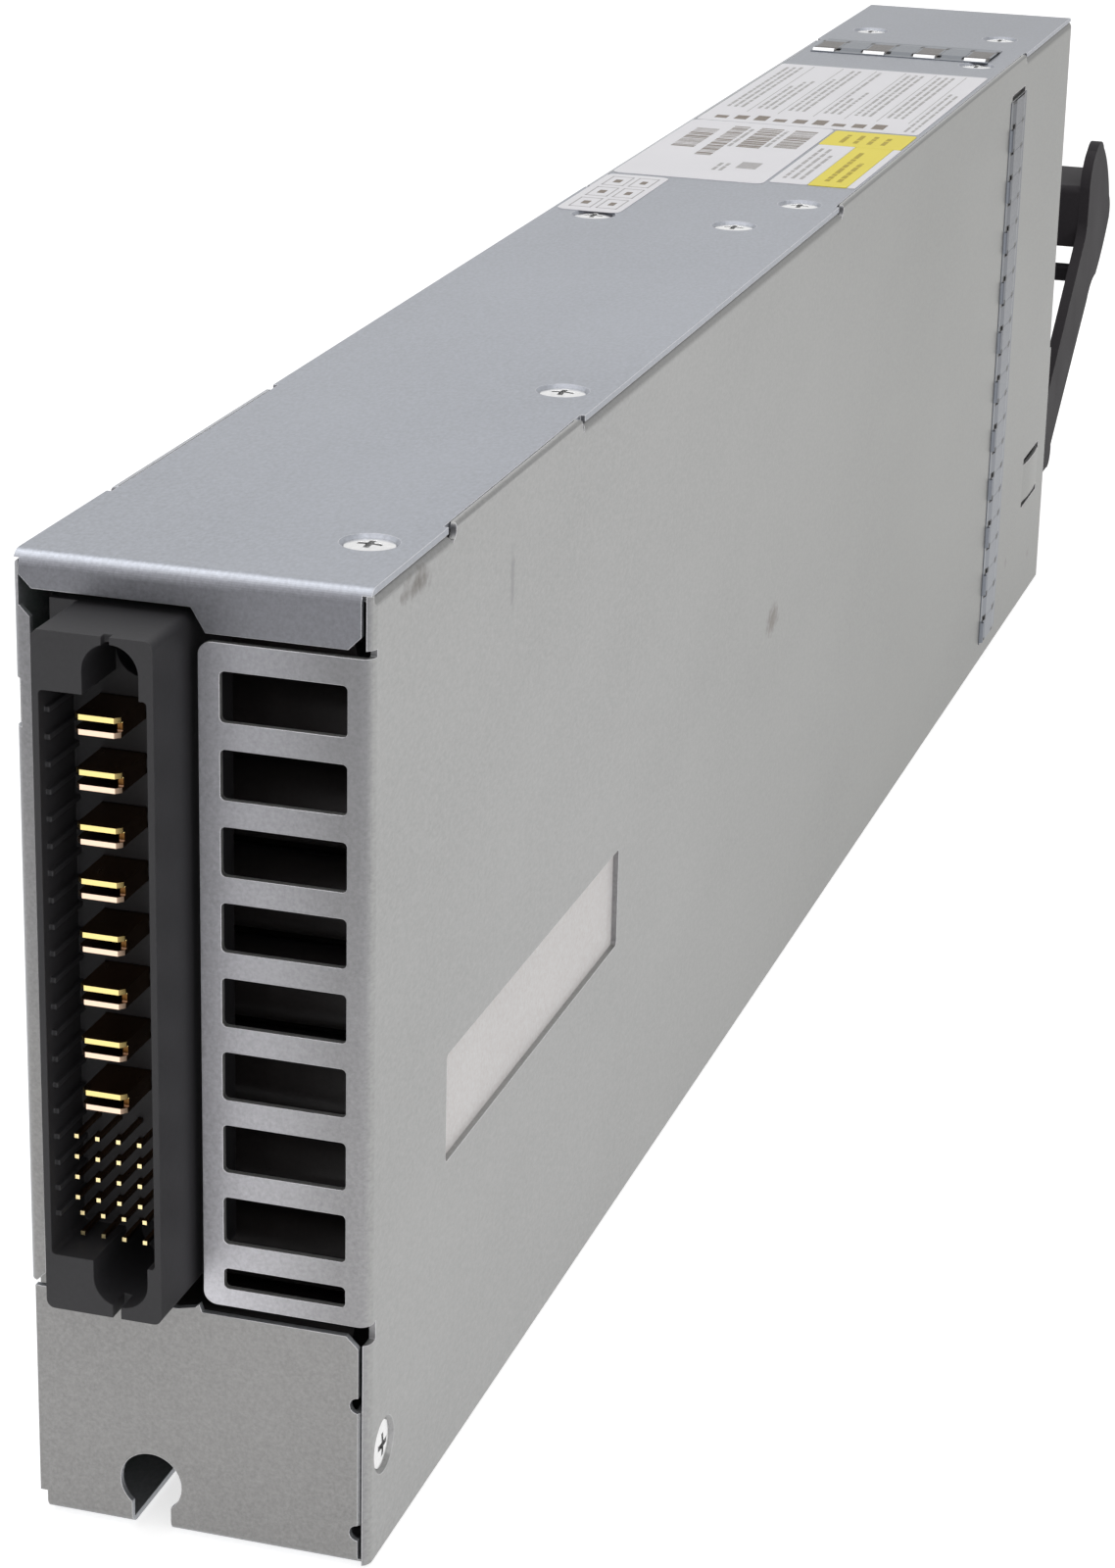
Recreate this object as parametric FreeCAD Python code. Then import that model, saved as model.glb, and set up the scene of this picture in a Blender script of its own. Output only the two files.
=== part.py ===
import FreeCAD, Part
import math
import os

# Hot-swap server power supply: a tall, narrow steel case that slides into a bay.
# Millimetres.  X is the thickness, -Y the blind-mate connector end, +Y the handle and fan end, +Z up.
# The origin is on the underside of the case, at the middle of its length and thickness.

V = FreeCAD.Vector
os.makedirs("parts", exist_ok=True)

# ---------------------------------------------------------------- driving dimensions
# Case
case_width = 42.2
case_height = 119.2
case_length = 427.0
sheet = 0.8                  # case steel
bend = 1.5                   # outside radius of the walls' bends
cover_bend = 1.8             # outside radius of the cover's bends
seam = 0.15                  # gap between two sheets edge to edge
fit = 0.05                   # clearance of a piece in its own slot or hole
relief = 1.0                 # radius of the half-round reliefs at the ends of a bend
past = 1.0                   # how far a cutting tool reaches past the metal

# Connector end: the sheets that share its face
front_flange_high = 29.8     # top of the tray's front flange
front_flange_inset_left = 0.8
front_flange_inset_right = 1.3
flange_peak = 1.0            # small tooth on the flange's top edge
flange_peak_x = 0.3
flange_peak_run = 2.7
vent_left = 0.9              # left edge of the vent panel
vent_gap_low = 1.4           # vent panel above the front flange
vent_gap_high = 0.9          # vent panel below the cover's lip
vent_corner = 1.6
slot_inset_left = 2.5        # vent slots from the panel's left edge
slot_inset_right = 2.9       # and from the wall's outer face
slot_inset_top = 3.2
slot_inset_low = 2.0
slot_height = 5.9
slot_pitch = 9.02
slot_last_height = 2.6       # the lowest slot is a narrow one
slot_corner = 0.6
side_tab_low = 5.3           # tab of the front flange that takes the side screw
side_tab_high = 20.0
side_tab_length = 13.0
keyhole_x = -6.05
keyhole_z = 6.1
keyhole_r = 3.85
keyhole_slot = 4.9
keyhole_run = 22.0           # how far the slot runs back in the bottom sheet
strip_width = 2.2            # return of a wall over an end face
strip_gap_low = 0.6          # left return above the front flange
strip_gap_high = 6.2         # and below the top
strip_chamfer = 1.2
bite_drop = 8.5              # bite in the left return, below its top
bite_height = 5.7
bite_depth = 0.9
left_wall_setback = 3.2      # front edge of the left wall below its return
corner_step_high = 2.6       # step at the lower left corner of the face
corner_step_wide = 1.7
lip_short = 4.1              # cover lip over the connector
lip_tall = 6.9               # cover lip over the vent panel
lip_step_x = 1.8
lip_step_run = 1.7
lip_chamfer = 1.5
lip_inset = 0.4              # lip's right edge inside the plate's edge
back_lip = 1.9               # cover lip at the handle end

# Top edge of the walls: in some stretches the wall folds in as a tab under the cover
front_tab = 27.0             # length of the first folded stretch
middle_tab_start = 78.5      # from the connector end
middle_tab_end = 219.3
back_tab = 50.0              # length of the last one, up to the handle end
wide_tab = 10.5
narrow_tab = 3.1
tab_past_bend = 5.0          # the middle tab runs on past its bend to reach its last screw
cover_overhang = 0.3         # how far the cover stops short of the wall's outer face over a tab
rim_round = 0.55             # rounded outer edge of the wall's raised stretches

# Cover screws
screw_line = 6.6             # from the wall's outer face
first_screw = 17.3           # from the connector end
second_screw = 90.5
crossbar_screws = 198.2
tab_end_screw = 218.1
flange_screw_back = 67.4     # from the handle end
last_screws_back = 34.8
crossbar_screw_line = 12.1
left_screw_line = 7.7
last_screw_line = 8.4
dish_r = 3.5                 # mouth of the pressed dish round each screw
screw_top_r = 3.0            # flat head
screw_dome = 0.25            # slight dome of the head
screw_shank_r = 1.3
screw_length = 6.0
screw_sink = 0.4             # head's rim below the sheet
recess_width = 0.75          # cross recess
recess_length = 3.0
recess_depth = 0.8
side_screw_y = 5.5
side_screw_z = 13.4
side_screw_length = 3.0
crossbar_width = 13.0        # bar under the cover for the middle screws
crossbar_depth = 2.8
crossbar_metal = 1.0
crossbar_gap = 0.2           # bar to the board

# Window in the right wall, and the insulating sheets
window_end = 100.0           # it starts where the front tab ends
window_low = 40.0
window_high = 54.0
window_corner = 0.6
liner = 0.4
liner_start = 15.0
liner_back = 43.0            # from the handle end
liner_low = 8.0
liner_top_gap = 7.2
board_liner_more = 4.0       # the board's sheet reaches further up and down

# Grounding spring strips near the handle end
spring_back = 64.6           # strip's near edge from the handle end
spring_width = 15.4
spring_metal = 0.15
spring_bow = 0.45            # height of the bowed fingers over the sheet
spring_foot = 1.6            # flat band along each edge
spring_slope = 2.2           # run of the fingers up to their crest
finger_pitch = 4.93
finger_slit = 0.08
finger_notch = 0.9           # square opening at both ends of each slit
near_notch = 2.6             # its middle from the strip's near edge
far_notch = 2.1              # and from the far edge
catch_length = 4.1           # raised catch on every second finger, with an opening behind it
catch_r = 0.75
catch_opening = 0.6
side_spring_low = 3.6
side_spring_gap = 6.5        # room over the strip's upper end
spring_end_slot = 1.1        # slot in the wall at that end
top_spring_left = 2.5        # strip's ends from the walls' outer faces
top_spring_right = 5.0

# Lanced straps in the walls beside the lever pivots
strap_start_back = 25.0      # behind the handle-end face
strap_end_back = 8.5
strap_low = 22.7
strap_high = 30.6
strap_slit = 1.3
strap_bulge = 0.35

# Blind-mate connector
shroud_left_gap = 6.8        # shroud to the left wall's outer face
shroud_width = 14.1
shroud_gap_low = 3.1         # shroud above the front flange
shroud_gap_high = 1.1        # shroud below the cover's lip
shroud_reach = 10.0          # ahead of the case face
shroud_wall = 0.75
shroud_back = 13.0           # housing inside the case
shroud_corner = 1.0
cavity_depth = 9.4
cavity_corner = 0.5
guide_block = 6.8            # solid end blocks with the guide sockets
guide_r = 3.3
guide_inset = 4.95           # guide axis to the shroud's right face
guide_depth = 15.0
guide_low_rise = 4.7         # axis above the shroud's lower end
guide_high_drop = 4.1        # axis below its upper end
tick_pitch = 3.175           # little ribs on the cavity's left wall
tick_size = 0.6
tick_inset = 3.0             # first rib below the upper block
power_pitch = 6.35
power_drop = 4.15            # first contact below the upper block
power_margin = 4.0           # last contact above the signal pins
blade_inset = 3.9            # leaf to the shroud's left face
blade_width = 5.36
blade_thick = 0.62
blade_gap = 1.7              # between the two leaves of a contact
blade_chamfer = 0.6
blade_web = 0.6              # web that joins the two leaves
blade_web_setback = 1.0
blade_back_from_rim = 2.0
pin_pitch = 2.54
pin_columns = 4
pin_rows = 6
pin_size = 0.5
pin_inset = 6.6              # middle of the pin field to the shroud's left face
pin_rise = 1.0               # lowest row above the lower block
pin_back_from_rim = 3.0
pin_short_by = 1.2           # the last two rows mate last
tail_back = 0.6              # first tail behind the housing
tail_step = 1.6              # from one column's tail to the next
tail_width = 1.2
tail_past_board = 0.7

# Main board, parallel to the left wall
board_thick = 1.6
board_gap = 1.7              # board to left wall
board_start = 7.0
board_back = 38.0            # board's far edge from the handle end
board_low = 4.0
board_top_gap = 4.2
standoff_r = 2.6
standoff_inset = 5.0         # from the board's long edges
first_standoff = 20.2
last_standoff_back = 37.0    # from the board's far edge
board_screw_head_r = 2.7
board_screw_head = 1.6
board_screw_r = 1.2
board_screw_chamfer = 0.5
standoff_floor = 0.3

# Bays along the board
bay_gap = 5.0
bank_start = 25.0            # capacitor bank, from the connector end
bank_columns = 2
bank_margin = 6.0            # both ends of a column together
bank_pitch = 11.6
bank_can_r = 5.0
bank_can_tall = 27.0
can_groove = 0.9
can_groove_depth = 0.4
can_groove_at = 2.0
bar_foot = 14.0              # output busbars
bar_width = 26.0
bar_thick = 1.6
bar_rise = 20.0
sink_margin = 5.5            # heatsink to the board's long edges
sink_base = 4.0
sink_fin = 1.4
sink_tall = 24.0
sink_pitch = 7.2
package_length = 15.0        # rectifier transistors under the heatsink
package_width = 10.0
package_tall = 5.6
package_pitch = 12.1
core_length = 40.0           # transformers
core_height = 44.0
core_tall = 32.0
core_limb = 6.0
core_leg = 14.0
core_seat = 0.5
core_seat_length = 20.0
core_seat_height = 30.0
coil_out = 5.0               # coil past the core at both ends
coil_gap = 0.4
coil_corner = 4.0
coil_foot = 2.0              # its square feet
coil_foot_out = 2.5          # from the core's end
coil_foot_pitch = 10.0
block_length = 22.0          # resonant capacitors
block_width = 13.0
block_tall = 24.0
block_count = 4
block_corner = 1.0
block_margin = 12.0          # both ends of their row together
primary_wall = 3.0           # primary heatsink
primary_fin = 1.5
primary_fin_pitch = 8.0
primary_height = 30.0
device_length = 4.0
device_high = 18.0
device_thick = 4.8
device_stand = 3.0
device_lead = 1.2
card_rise = 30.5             # control card above the board's middle
card_tall = 28.0
card_thick = 1.6
chip_sizes = [12.0, 9.0, 12.0]
chip_rise = 6.0
chip_thick = 1.8
bulk_r = 15.8                # high-voltage capacitors
bulk_length = 52.0
bulk_pitch = 34.5
bulk_gap = 1.0               # least room between two of them
bulk_groove_at = 4.0
bulk_groove = 1.4
bulk_groove_depth = 0.7

# Input stage, measured back from the handle end and down from the board's top edge
input_back = 91.0            # near side of the chokes
boost_r_out = 15.0
boost_r_in = 7.5
boost_thick = 16.0
boost_drop = 19.0            # axis below the board's top edge
boost_lift = 1.7             # ring above the board
boost_base = 3.0
boost_base_width = 18.0
boost_turns = 16
boost_sweep = 270.0
wire = 1.2
line_r_out = 9.0
line_r_in = 4.8
line_thick = 11.0
line_setback = 2.0           # line chokes behind the boost choke's near side
line_rise = 16.0             # first axis above the board's lower edge
line_pitch = 26.0
line_lift = 2.5
line_saddle = 10.0
line_saddle_tall = 2.6
line_turns = 5               # on each side of a ring
line_turn_first = 26.0
line_turn_step = 22.0
line_wire = 1.0
bridge_thick = 6.0
bridge_tall = 26.0
bridge_gap = 0.6
film_back = 60.0             # middle of the line capacitors
film_length = 12.0
film_height = 20.0
film_tall = 22.0
film_rise = 18.0
film_pitch = 30.0
relay_back = 59.0
relay_length = 15.0
relay_height = 19.0
relay_tall = 20.0
relay_corner = 0.8
standby_back = 65.0
standby_drop = 11.0
standby_core = (14.0, 12.0, 15.0)
standby_coil = (10.0, 16.0, 11.0)
fuse_back = 49.0
fuse_drop = 2.0
fuse_r = 3.0
fuse_length = 14.0
fuse_lift = 6.0
fuse_clip = 3.0
fuse_clip_wide = 8.8
fuse_clip_inset = 0.5

# Handle end: panel, fans, inlet
panel = 1.0                  # panel steel
panel_notch_low = 7.0        # side notches for the lever arms
panel_notch_high = 48.0
panel_flange_past_screw = 4.0
return_low = 50.0            # returns of the walls over the panel
fan_depth = 28.0
fan_gap = 0.2
fan_side_room = 4.0          # both sides together
fan_over_lights = 2.3        # lower fan above the light pipes
fan_corner = 2.0
fan_wall = 1.4               # bore to the frame's side
fan_hub_r = 9.5
fan_tip_gap = 0.6
fan_hub_wall = 1.2
fan_hub_length = 21.0
fan_hub_cap = 2.0
fan_hub_chamfer = 1.0
fan_rotor_setback = 2.2
fan_blades = 7
fan_blade_thick = 0.9
fan_root_chord = 15.0
fan_root_pitch = 52.0
fan_tip_chord = 17.5
fan_tip_pitch = 34.0
fan_camber = 0.08
fan_shaft_r = 1.0
fan_shaft_past = 1.5
fan_bearing_r = 3.2
fan_bearing_length = 16.0
fan_base = 2.0
fan_strut = 2.0
fan_waist = 4.0              # thickness of the frame's two flanges
fan_waist_depth = 3.2
fan_hole_inset = 3.0
fan_hole_r = 1.6             # in the panel
fan_pilot_r = 1.25           # in the frame
fan_screw_r = 1.2
fan_screw_length = 6.0
fan_screw_head_r = 2.5
fan_screw_head = 1.3
fan_screw_chamfer = 0.5
ring_slot = 3.3
ring_pitch = 4.7
ring_hub = 2.5
grille_spoke = 1.7
inlet_z = 17.6
inlet_width = 31.6           # body behind the panel
inlet_height = 25.6
inlet_depth = 24.0
inlet_flange_width = 34.2
inlet_flange_height = 28.6
inlet_flange = 2.4
inlet_flange_chamfer = 0.5
inlet_mouth_width = 27.0
inlet_mouth_height = 21.0
inlet_mouth_depth = 19.0
inlet_corner = 3.0
inlet_pin_width = 8.0
inlet_pin_thick = 2.0
inlet_pin_length = 15.0
inlet_pin_spread = 13.0
inlet_pin_past = 1.0         # behind the filter board
inlet_line_drop = 3.2        # live and neutral below the middle
inlet_earth_rise = 4.8
filter_board_low = 4.0
filter_board_high = 34.0
filter_board_half = 16.5
light_z = 37.2
light_r = 1.5
light_pitch = 7.0
light_count = 3
light_length = 9.0
light_proud = 0.6
light_collar = 0.8
light_collar_length = 1.2

# Release lever.  Profile points are (distance past the handle end, height)
lever_inset = 1.1            # outer face of the arms from the case's side
lever_arm = 2.2
lever_eye_r = 5.6
lever_pin_r = 1.5
lever_pin_head_r = 3.1
lever_pin_head = 0.35
lever_run = 0.06             # radial clearance on the pin
heel = [(10.5, 21.0), (14.2, 22.2), (14.6, 25.2)]
nose = [(50.6, 49.2), (55.2, 52.3), (60.6, 53.2), (68.3, 58.0), (74.4, 63.4), (74.7, 66.2), (72.8, 68.6)]
tip = [(68.2, 75.6), (60.6, 81.6), (55.6, 83.9), (50.8, 82.6), (46.4, 79.8), (44.4, 75.6)]
throat = [(44.2, 67.6), (43.3, 65.5), (41.6, 63.9)]
shoulder = [(12.0, 42.2), (-0.6, 35.0)]
grip_reach = 90.0
grip_low = 62.3
grip_high = 75.6
grip_wall = 2.2
grip_round = 1.6
grip_bays = 3
grip_pocket = [(64.0, 73.4), (70.4, 65.4), (68.0, 61.3)]
rib_back = 45.4
rib_depth = 3.2
rib_low = 54.2
rib_high = 57.8
rib_round = 0.8
bracket_gap = 0.4            # bracket to the lever's arms
bracket = 1.1
bracket_back = 21.0
bracket_front = 6.0
bracket_top = 31.5
bracket_round = 5.0
bracket_clear = 4.0          # bracket's opening behind the inlet

# ---------------------------------------------------------------- worked out from them
half_w = case_width / 2
y_face = -case_length / 2            # connector-end face
y_end = case_length / 2              # handle-end face
wall_in = half_w - sheet             # inner face of a wall
roof = case_height - sheet           # underside of the cover
plate_edge = wall_in - seam          # edge of a sheet let in between the walls
lip_room = sheet + seam              # room for a lip at either end
vent_low = front_flange_high + vent_gap_low
vent_high = case_height - lip_tall - vent_gap_high
strip_low = front_flange_high + strip_gap_low
strip_high = case_height - strip_gap_high
slot_first_top = vent_high - slot_inset_top
slot_count = 1 + int((slot_first_top - slot_last_height - vent_low - slot_inset_low) / slot_pitch)
tab_stretches = [(0.0, front_tab, wide_tab), (middle_tab_start, middle_tab_end, wide_tab),
                 (case_length - back_tab, case_length, narrow_tab)]
cover_screw_places = [(half_w - screw_line, first_screw), (half_w - screw_line, second_screw),
                      (half_w - crossbar_screw_line, crossbar_screws),
                      (left_screw_line - half_w, crossbar_screws),
                      (half_w - screw_line, tab_end_screw),
                      (half_w - screw_line, case_length - flange_screw_back),
                      (half_w - last_screw_line, case_length - last_screws_back),
                      (left_screw_line - half_w, case_length - last_screws_back)]
side_finger_count = int((case_height - side_spring_low - side_spring_gap) / finger_pitch)
top_finger_count = int((case_width - top_spring_left - top_spring_right) / finger_pitch)

shroud_left = -half_w + shroud_left_gap
shroud_right = shroud_left + shroud_width
shroud_low = front_flange_high + shroud_gap_low
shroud_high = case_height - lip_short - shroud_gap_high
rim = y_face - shroud_reach
housing_end = y_face + shroud_back
guide_x = shroud_right - guide_inset
guide_low_z = shroud_low + guide_low_rise
guide_high_z = shroud_high - guide_high_drop
blade_x = shroud_left + blade_inset
pin_low_z = shroud_low + guide_block + pin_rise
pin_top_z = pin_low_z + (pin_rows - 1) * pin_pitch
power_first_z = shroud_high - guide_block - power_drop
power_count = 1 + int((power_first_z - pin_top_z - power_margin) / power_pitch)

board_x = -wall_in + board_gap + board_thick   # component side of the board
board_high = case_height - board_top_gap
board_mid = (board_low + board_high) / 2
board_height = board_high - board_low
board_end = case_length - board_back
middle_standoff = (first_standoff + board_end - last_standoff_back) / 2
standoff_places = [(y, z) for y in (first_standoff, middle_standoff, board_end - last_standoff_back)
                   for z in (board_low + standoff_inset, board_high - standoff_inset)]
input_start = case_length - input_back
bars_start = bank_start + (bank_columns - 1) * bank_pitch + 2 * bank_can_r + bay_gap
rectifier_start = bars_start + bar_foot + bay_gap
core_room = core_length + 2 * coil_out
sink_length = (input_start - rectifier_start - core_room - block_length - bulk_length - 5 * bay_gap) / 2
core_start = rectifier_start + sink_length + bay_gap
block_start = core_start + core_room + bay_gap
primary_start = block_start + block_length + bay_gap
bulk_start = primary_start + sink_length + bay_gap

panel_out = y_end - sheet            # outer face of the panel
panel_in = panel_out - panel
fan_floor = light_z + light_r + fan_over_lights
fan_size = min((roof - panel - 2 * fan_gap - fan_floor) / 2, case_width - fan_side_room)
fan_bore_r = fan_size / 2 - fan_wall
fan_tip_r = fan_bore_r - fan_tip_gap
ring_count = int((fan_tip_r - ring_hub) / ring_pitch)
inlet_front = panel_out + inlet_flange
inlet_back = panel_out - inlet_depth
lever_out_x = half_w - lever_inset
lever_in_x = lever_out_x - lever_arm
bracket_x = lever_in_x - bracket_gap - bracket
lever_pivot_back = (strap_start_back + strap_end_back) / 2   # the straps cover the pin heads
lever_pivot_z = (strap_low + strap_high) / 2
pivot_y = y_end - lever_pivot_back
parts = {}


# ---------------------------------------------------------------- helpers
def box(x0, x1, y0, y1, z0, z1):
    return Part.makeBox(x1 - x0, y1 - y0, z1 - z0, V(x0, y0, z0))


def rod(x, y, z, axis, r, length):
    return Part.makeCylinder(r, length, V(x, y, z), V(*axis))


def fuse(shapes):
    shapes = list(shapes)
    whole = shapes[0].multiFuse(shapes[1:]) if len(shapes) > 1 else shapes[0]
    return whole.removeSplitter()


def cut(shape, tools):
    tools = list(tools)
    return shape.cut(Part.makeCompound(tools)) if tools else shape


def plate_xz(points, y0, depth):
    """A flat plate from an outline in X and Z, depth along +Y."""
    outline = Part.makePolygon([V(x, y0, z) for x, z in points + points[:1]])
    return Part.Face(outline).extrude(V(0, depth, 0))


def plate_yz(points, x0, depth):
    """A flat plate from an outline in Y and Z, depth along +X."""
    outline = Part.makePolygon([V(x0, y, z) for y, z in points + points[:1]])
    return Part.Face(outline).extrude(V(depth, 0, 0))


def edges_along(shape, axis, **at):
    """Straight edges along one axis that pass through the given coordinates."""
    found = []
    for edge in shape.Edges:
        if not isinstance(edge.Curve, Part.Line) or len(edge.Vertexes) < 2:
            continue
        a, b = edge.Vertexes[0].Point, edge.Vertexes[1].Point
        along = abs(getattr(b - a, axis)) > 0.999 * (b - a).Length
        placed = all(abs(getattr(a, name) - value) < 1e-4 for name, value in at.items())
        if along and placed:
            found.append(edge)
    return found


def edges_centred(shape, axis, value):
    """Edges, straight or round, whose middle lies at one coordinate."""
    return [edge for edge in shape.Edges if abs(getattr(edge.CenterOfMass, axis) - value) < 0.01]


def rounded(shape, r, axis, **at):
    edges = edges_along(shape, axis, **at)
    return shape.makeFillet(r, edges) if edges else shape


def outside_bend(axis, u_edge, v_edge, u_in, v_in, r, low, high):
    """Tool that rounds an outside corner along an axis. The corner lies at (u_edge, v_edge) in the
    other two coordinates, in X, Y, Z order, and the metal lies towards (u_in, v_in), each +1 or -1."""
    cu, cv = u_edge + u_in * r, v_edge + v_in * r
    u0, u1 = sorted((cu, u_edge - u_in * past))
    v0, v1 = sorted((cv, v_edge - v_in * past))
    if axis == "z":
        block = box(u0, u1, v0, v1, low, high)
        core = rod(cu, cv, low - past, (0, 0, 1), r, high - low + 2 * past)
    elif axis == "y":
        block = box(u0, u1, low, high, v0, v1)
        core = rod(cu, low - past, cv, (0, 1, 0), r, high - low + 2 * past)
    else:
        block = box(low, high, u0, u1, v0, v1)
        core = rod(low - past, cu, cv, (1, 0, 0), r, high - low + 2 * past)
    return block.cut(core)


def rounded_box(x0, x1, y0, y1, z0, z1, r, axis):
    shape = box(x0, x1, y0, y1, z0, z1)
    return shape.makeFillet(r, edges_along(shape, axis))


def mirrored(shape):
    return shape.mirror(V(0, 0, 0), V(1, 0, 0))


def spread(count, pitch, middle=0.0):
    """Evenly pitched places either side of a middle."""
    return [middle + (i - (count - 1) / 2) * pitch for i in range(count)]


def keep(name, shapes):
    """Writes one node: one solid, or a group of separate solids."""
    shapes = shapes if isinstance(shapes, list) else [shapes]
    solids = [solid for shape in shapes for solid in shape.Solids]
    whole = solids[0] if len(solids) == 1 else Part.makeCompound(solids)
    whole.exportStep("parts/" + name + ".step")
    parts[name] = whole


def from_face(distance):
    """A place measured from the connector-end face."""
    return y_face + distance


def from_end(distance):
    """A place measured back from the handle-end face."""
    return y_end - distance


# ---------------------------------------------------------------- case sheets
def dished_hole(x, y, z_top, depth):
    """Tool for a flat-head screw: pressed dish, then the shank's hole."""
    dish_depth = dish_r - screw_shank_r - fit
    dish = Part.makeCone(dish_r, dish_r - dish_depth, dish_depth, V(x, y, z_top), V(0, 0, -1))
    return dish.fuse(rod(x, y, z_top, (0, 0, -1), screw_shank_r + fit, depth))


def side_dished_hole():
    tool = dished_hole(0, 0, 0, side_screw_length + past)
    tool.rotate(V(0, 0, 0), V(0, 1, 0), 90)
    return tool.translated(V(half_w, from_face(side_screw_y), side_screw_z))


def flat_head_screw(length):
    """Flat-head screw with a slightly domed top. The head's rim is at the origin, the shank along -Z."""
    cone = Part.makeCone(screw_top_r, screw_shank_r, screw_top_r - screw_shank_r, V(0, 0, 0), V(0, 0, -1))
    ball_r = (screw_top_r ** 2 + screw_dome ** 2) / (2 * screw_dome)
    ball = Part.makeSphere(ball_r, V(0, 0, screw_dome - ball_r))
    dome = rod(0, 0, 0, (0, 0, 1), screw_top_r, screw_dome).common(ball)
    body = fuse([cone, dome, rod(0, 0, 0, (0, 0, -1), screw_shank_r, length)])
    long, thin = recess_length / 2, recess_width / 2
    cross = [box(-long, long, -thin, thin, -recess_depth, past),
             box(-thin, thin, -long, long, -recess_depth, past)]
    return body.cut(fuse(cross))


def raised_rim(a, b):
    """Part of a wall that stands up beside the cover, its top edge and its ends rounded over."""
    edge = box(wall_in, half_w, a, b, roof - sheet, case_height)
    tools = [outside_bend("y", half_w, case_height, -1, -1, rim_round, a - past, b + past),
             outside_bend("x", a, case_height, 1, -1, rim_round, wall_in - past, half_w + past),
             outside_bend("x", b, case_height, -1, -1, rim_round, wall_in - past, half_w + past)]
    return cut(edge, tools)


def wall_sheet():
    """Right wall standing at the edge: raised stretches, and stretches folded in as tabs."""
    stretches = []
    at = y_face
    for start, end, width in tab_stretches:
        a = from_face(start)
        b = min(from_face(end), y_end)
        if a > at:
            stretches += [box(wall_in, half_w, at, a, 0, roof), raised_rim(at + relief, a - relief)]
        tab_start, tab_end = max(a, y_face + lip_room), min(b, y_end - lip_room)
        tab = fuse([box(wall_in, half_w, a, b, 0, roof),
                    box(half_w - width, half_w, tab_start, tab_end, roof - sheet, roof)])
        stretches.append(cut(tab, [outside_bend("y", half_w, roof, -1, -1, bend, a - past, b + past)]))
        if a > y_face and b < y_end:
            stretches.append(box(half_w - width, wall_in - 2 * relief, b - relief, b + tab_past_bend,
                                 roof - sheet, roof))
        at = b
    reliefs = [rod(wall_in - past, y, roof, (1, 0, 0), relief, sheet + 2 * past)
               for start, end, width in tab_stretches for y in (from_face(start), from_face(end))
               if y_face < y < y_end]
    return cut(fuse(stretches), reliefs)


def wall_openings():
    """Openings of both walls: the room for the strap, and a slot at the spring strip's upper end."""
    x0, x1 = wall_in - past, half_w + past
    slot_low = side_spring_low + side_finger_count * finger_pitch
    near = from_end(spring_back)
    return [box(x0, x1, from_end(strap_start_back), from_end(strap_end_back),
                strap_low - strap_slit, strap_high + strap_slit),
            rounded_box(x0, x1, near + relief, near + spring_width - relief,
                        slot_low, slot_low + spring_end_slot, spring_end_slot / 2 - fit, "x")]


def strap():
    """The strap, bowed outwards over the head of the lever pin."""
    a, b = from_end(strap_start_back), from_end(strap_end_back)
    mid = (a + b) / 2
    sides = [Part.Arc(V(x, a, 0), V(x + strap_bulge, mid, 0), V(x, b, 0)).toShape() for x in (half_w, wall_in)]
    ends = [Part.makeLine(V(wall_in, y, 0), V(half_w, y, 0)) for y in (a, b)]
    face = Part.Face(Part.Wire(Part.__sortEdges__(sides + ends)))
    return face.extrude(V(0, 0, strap_high - strap_low)).translated(V(0, 0, strap_low))


def wall_return(z0, z1):
    """Short return of a wall over the handle-end panel."""
    return box(half_w - strip_width, half_w, y_end - sheet, y_end, z0, z1)


def vent_panel():
    """Slotted sheet across the right half of the connector end."""
    panel_sheet = box(vent_left, half_w, y_face, y_face + sheet, vent_low, vent_high)
    panel_sheet = rounded(panel_sheet, vent_corner, "y", x=vent_left)
    slots = []
    for i in range(slot_count):
        top = slot_first_top - i * slot_pitch
        height = slot_last_height if i == slot_count - 1 else slot_height
        slots.append(rounded_box(vent_left + slot_inset_left, half_w - slot_inset_right, y_face - past,
                                 y_face + sheet + past, top - height, top, slot_corner, "y"))
    return cut(panel_sheet, slots)


def side_cover():
    """Right wall with the vent panel folded across the connector end."""
    # reliefs at both ends of the vent panel's bend
    gap_low = box(wall_in - 2 * relief, half_w + past, y_face - past, y_face + bend + sheet,
                  front_flange_high - relief, vent_low)
    gap_high = box(wall_in - 2 * relief, half_w + past, y_face - past, y_face + bend,
                   vent_high, case_height - lip_tall)
    window = rounded_box(wall_in - past, half_w + past, from_face(front_tab), from_face(window_end),
                         window_low, window_high, window_corner, "x")
    wall = cut(wall_sheet(), [gap_low, gap_high, window, side_dished_hole()] + wall_openings())
    hem = sheet + fit
    hems = [box(half_w - hem, half_w, y_face, y_face + sheet, z0, z1)
            for z0, z1 in ((0, front_flange_high - relief), (case_height - lip_tall, roof))]
    shape = fuse([wall, vent_panel(), strap(), wall_return(return_low, roof - sheet)] + hems)
    shape = cut(shape, [outside_bend("z", half_w, y_face, -1, 1, bend, -past, case_height + past),
                        outside_bend("z", half_w, y_end, -1, -1, bend, return_low, case_height + past)])
    keep("side_cover", drill_cover_screws(shape))


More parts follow.
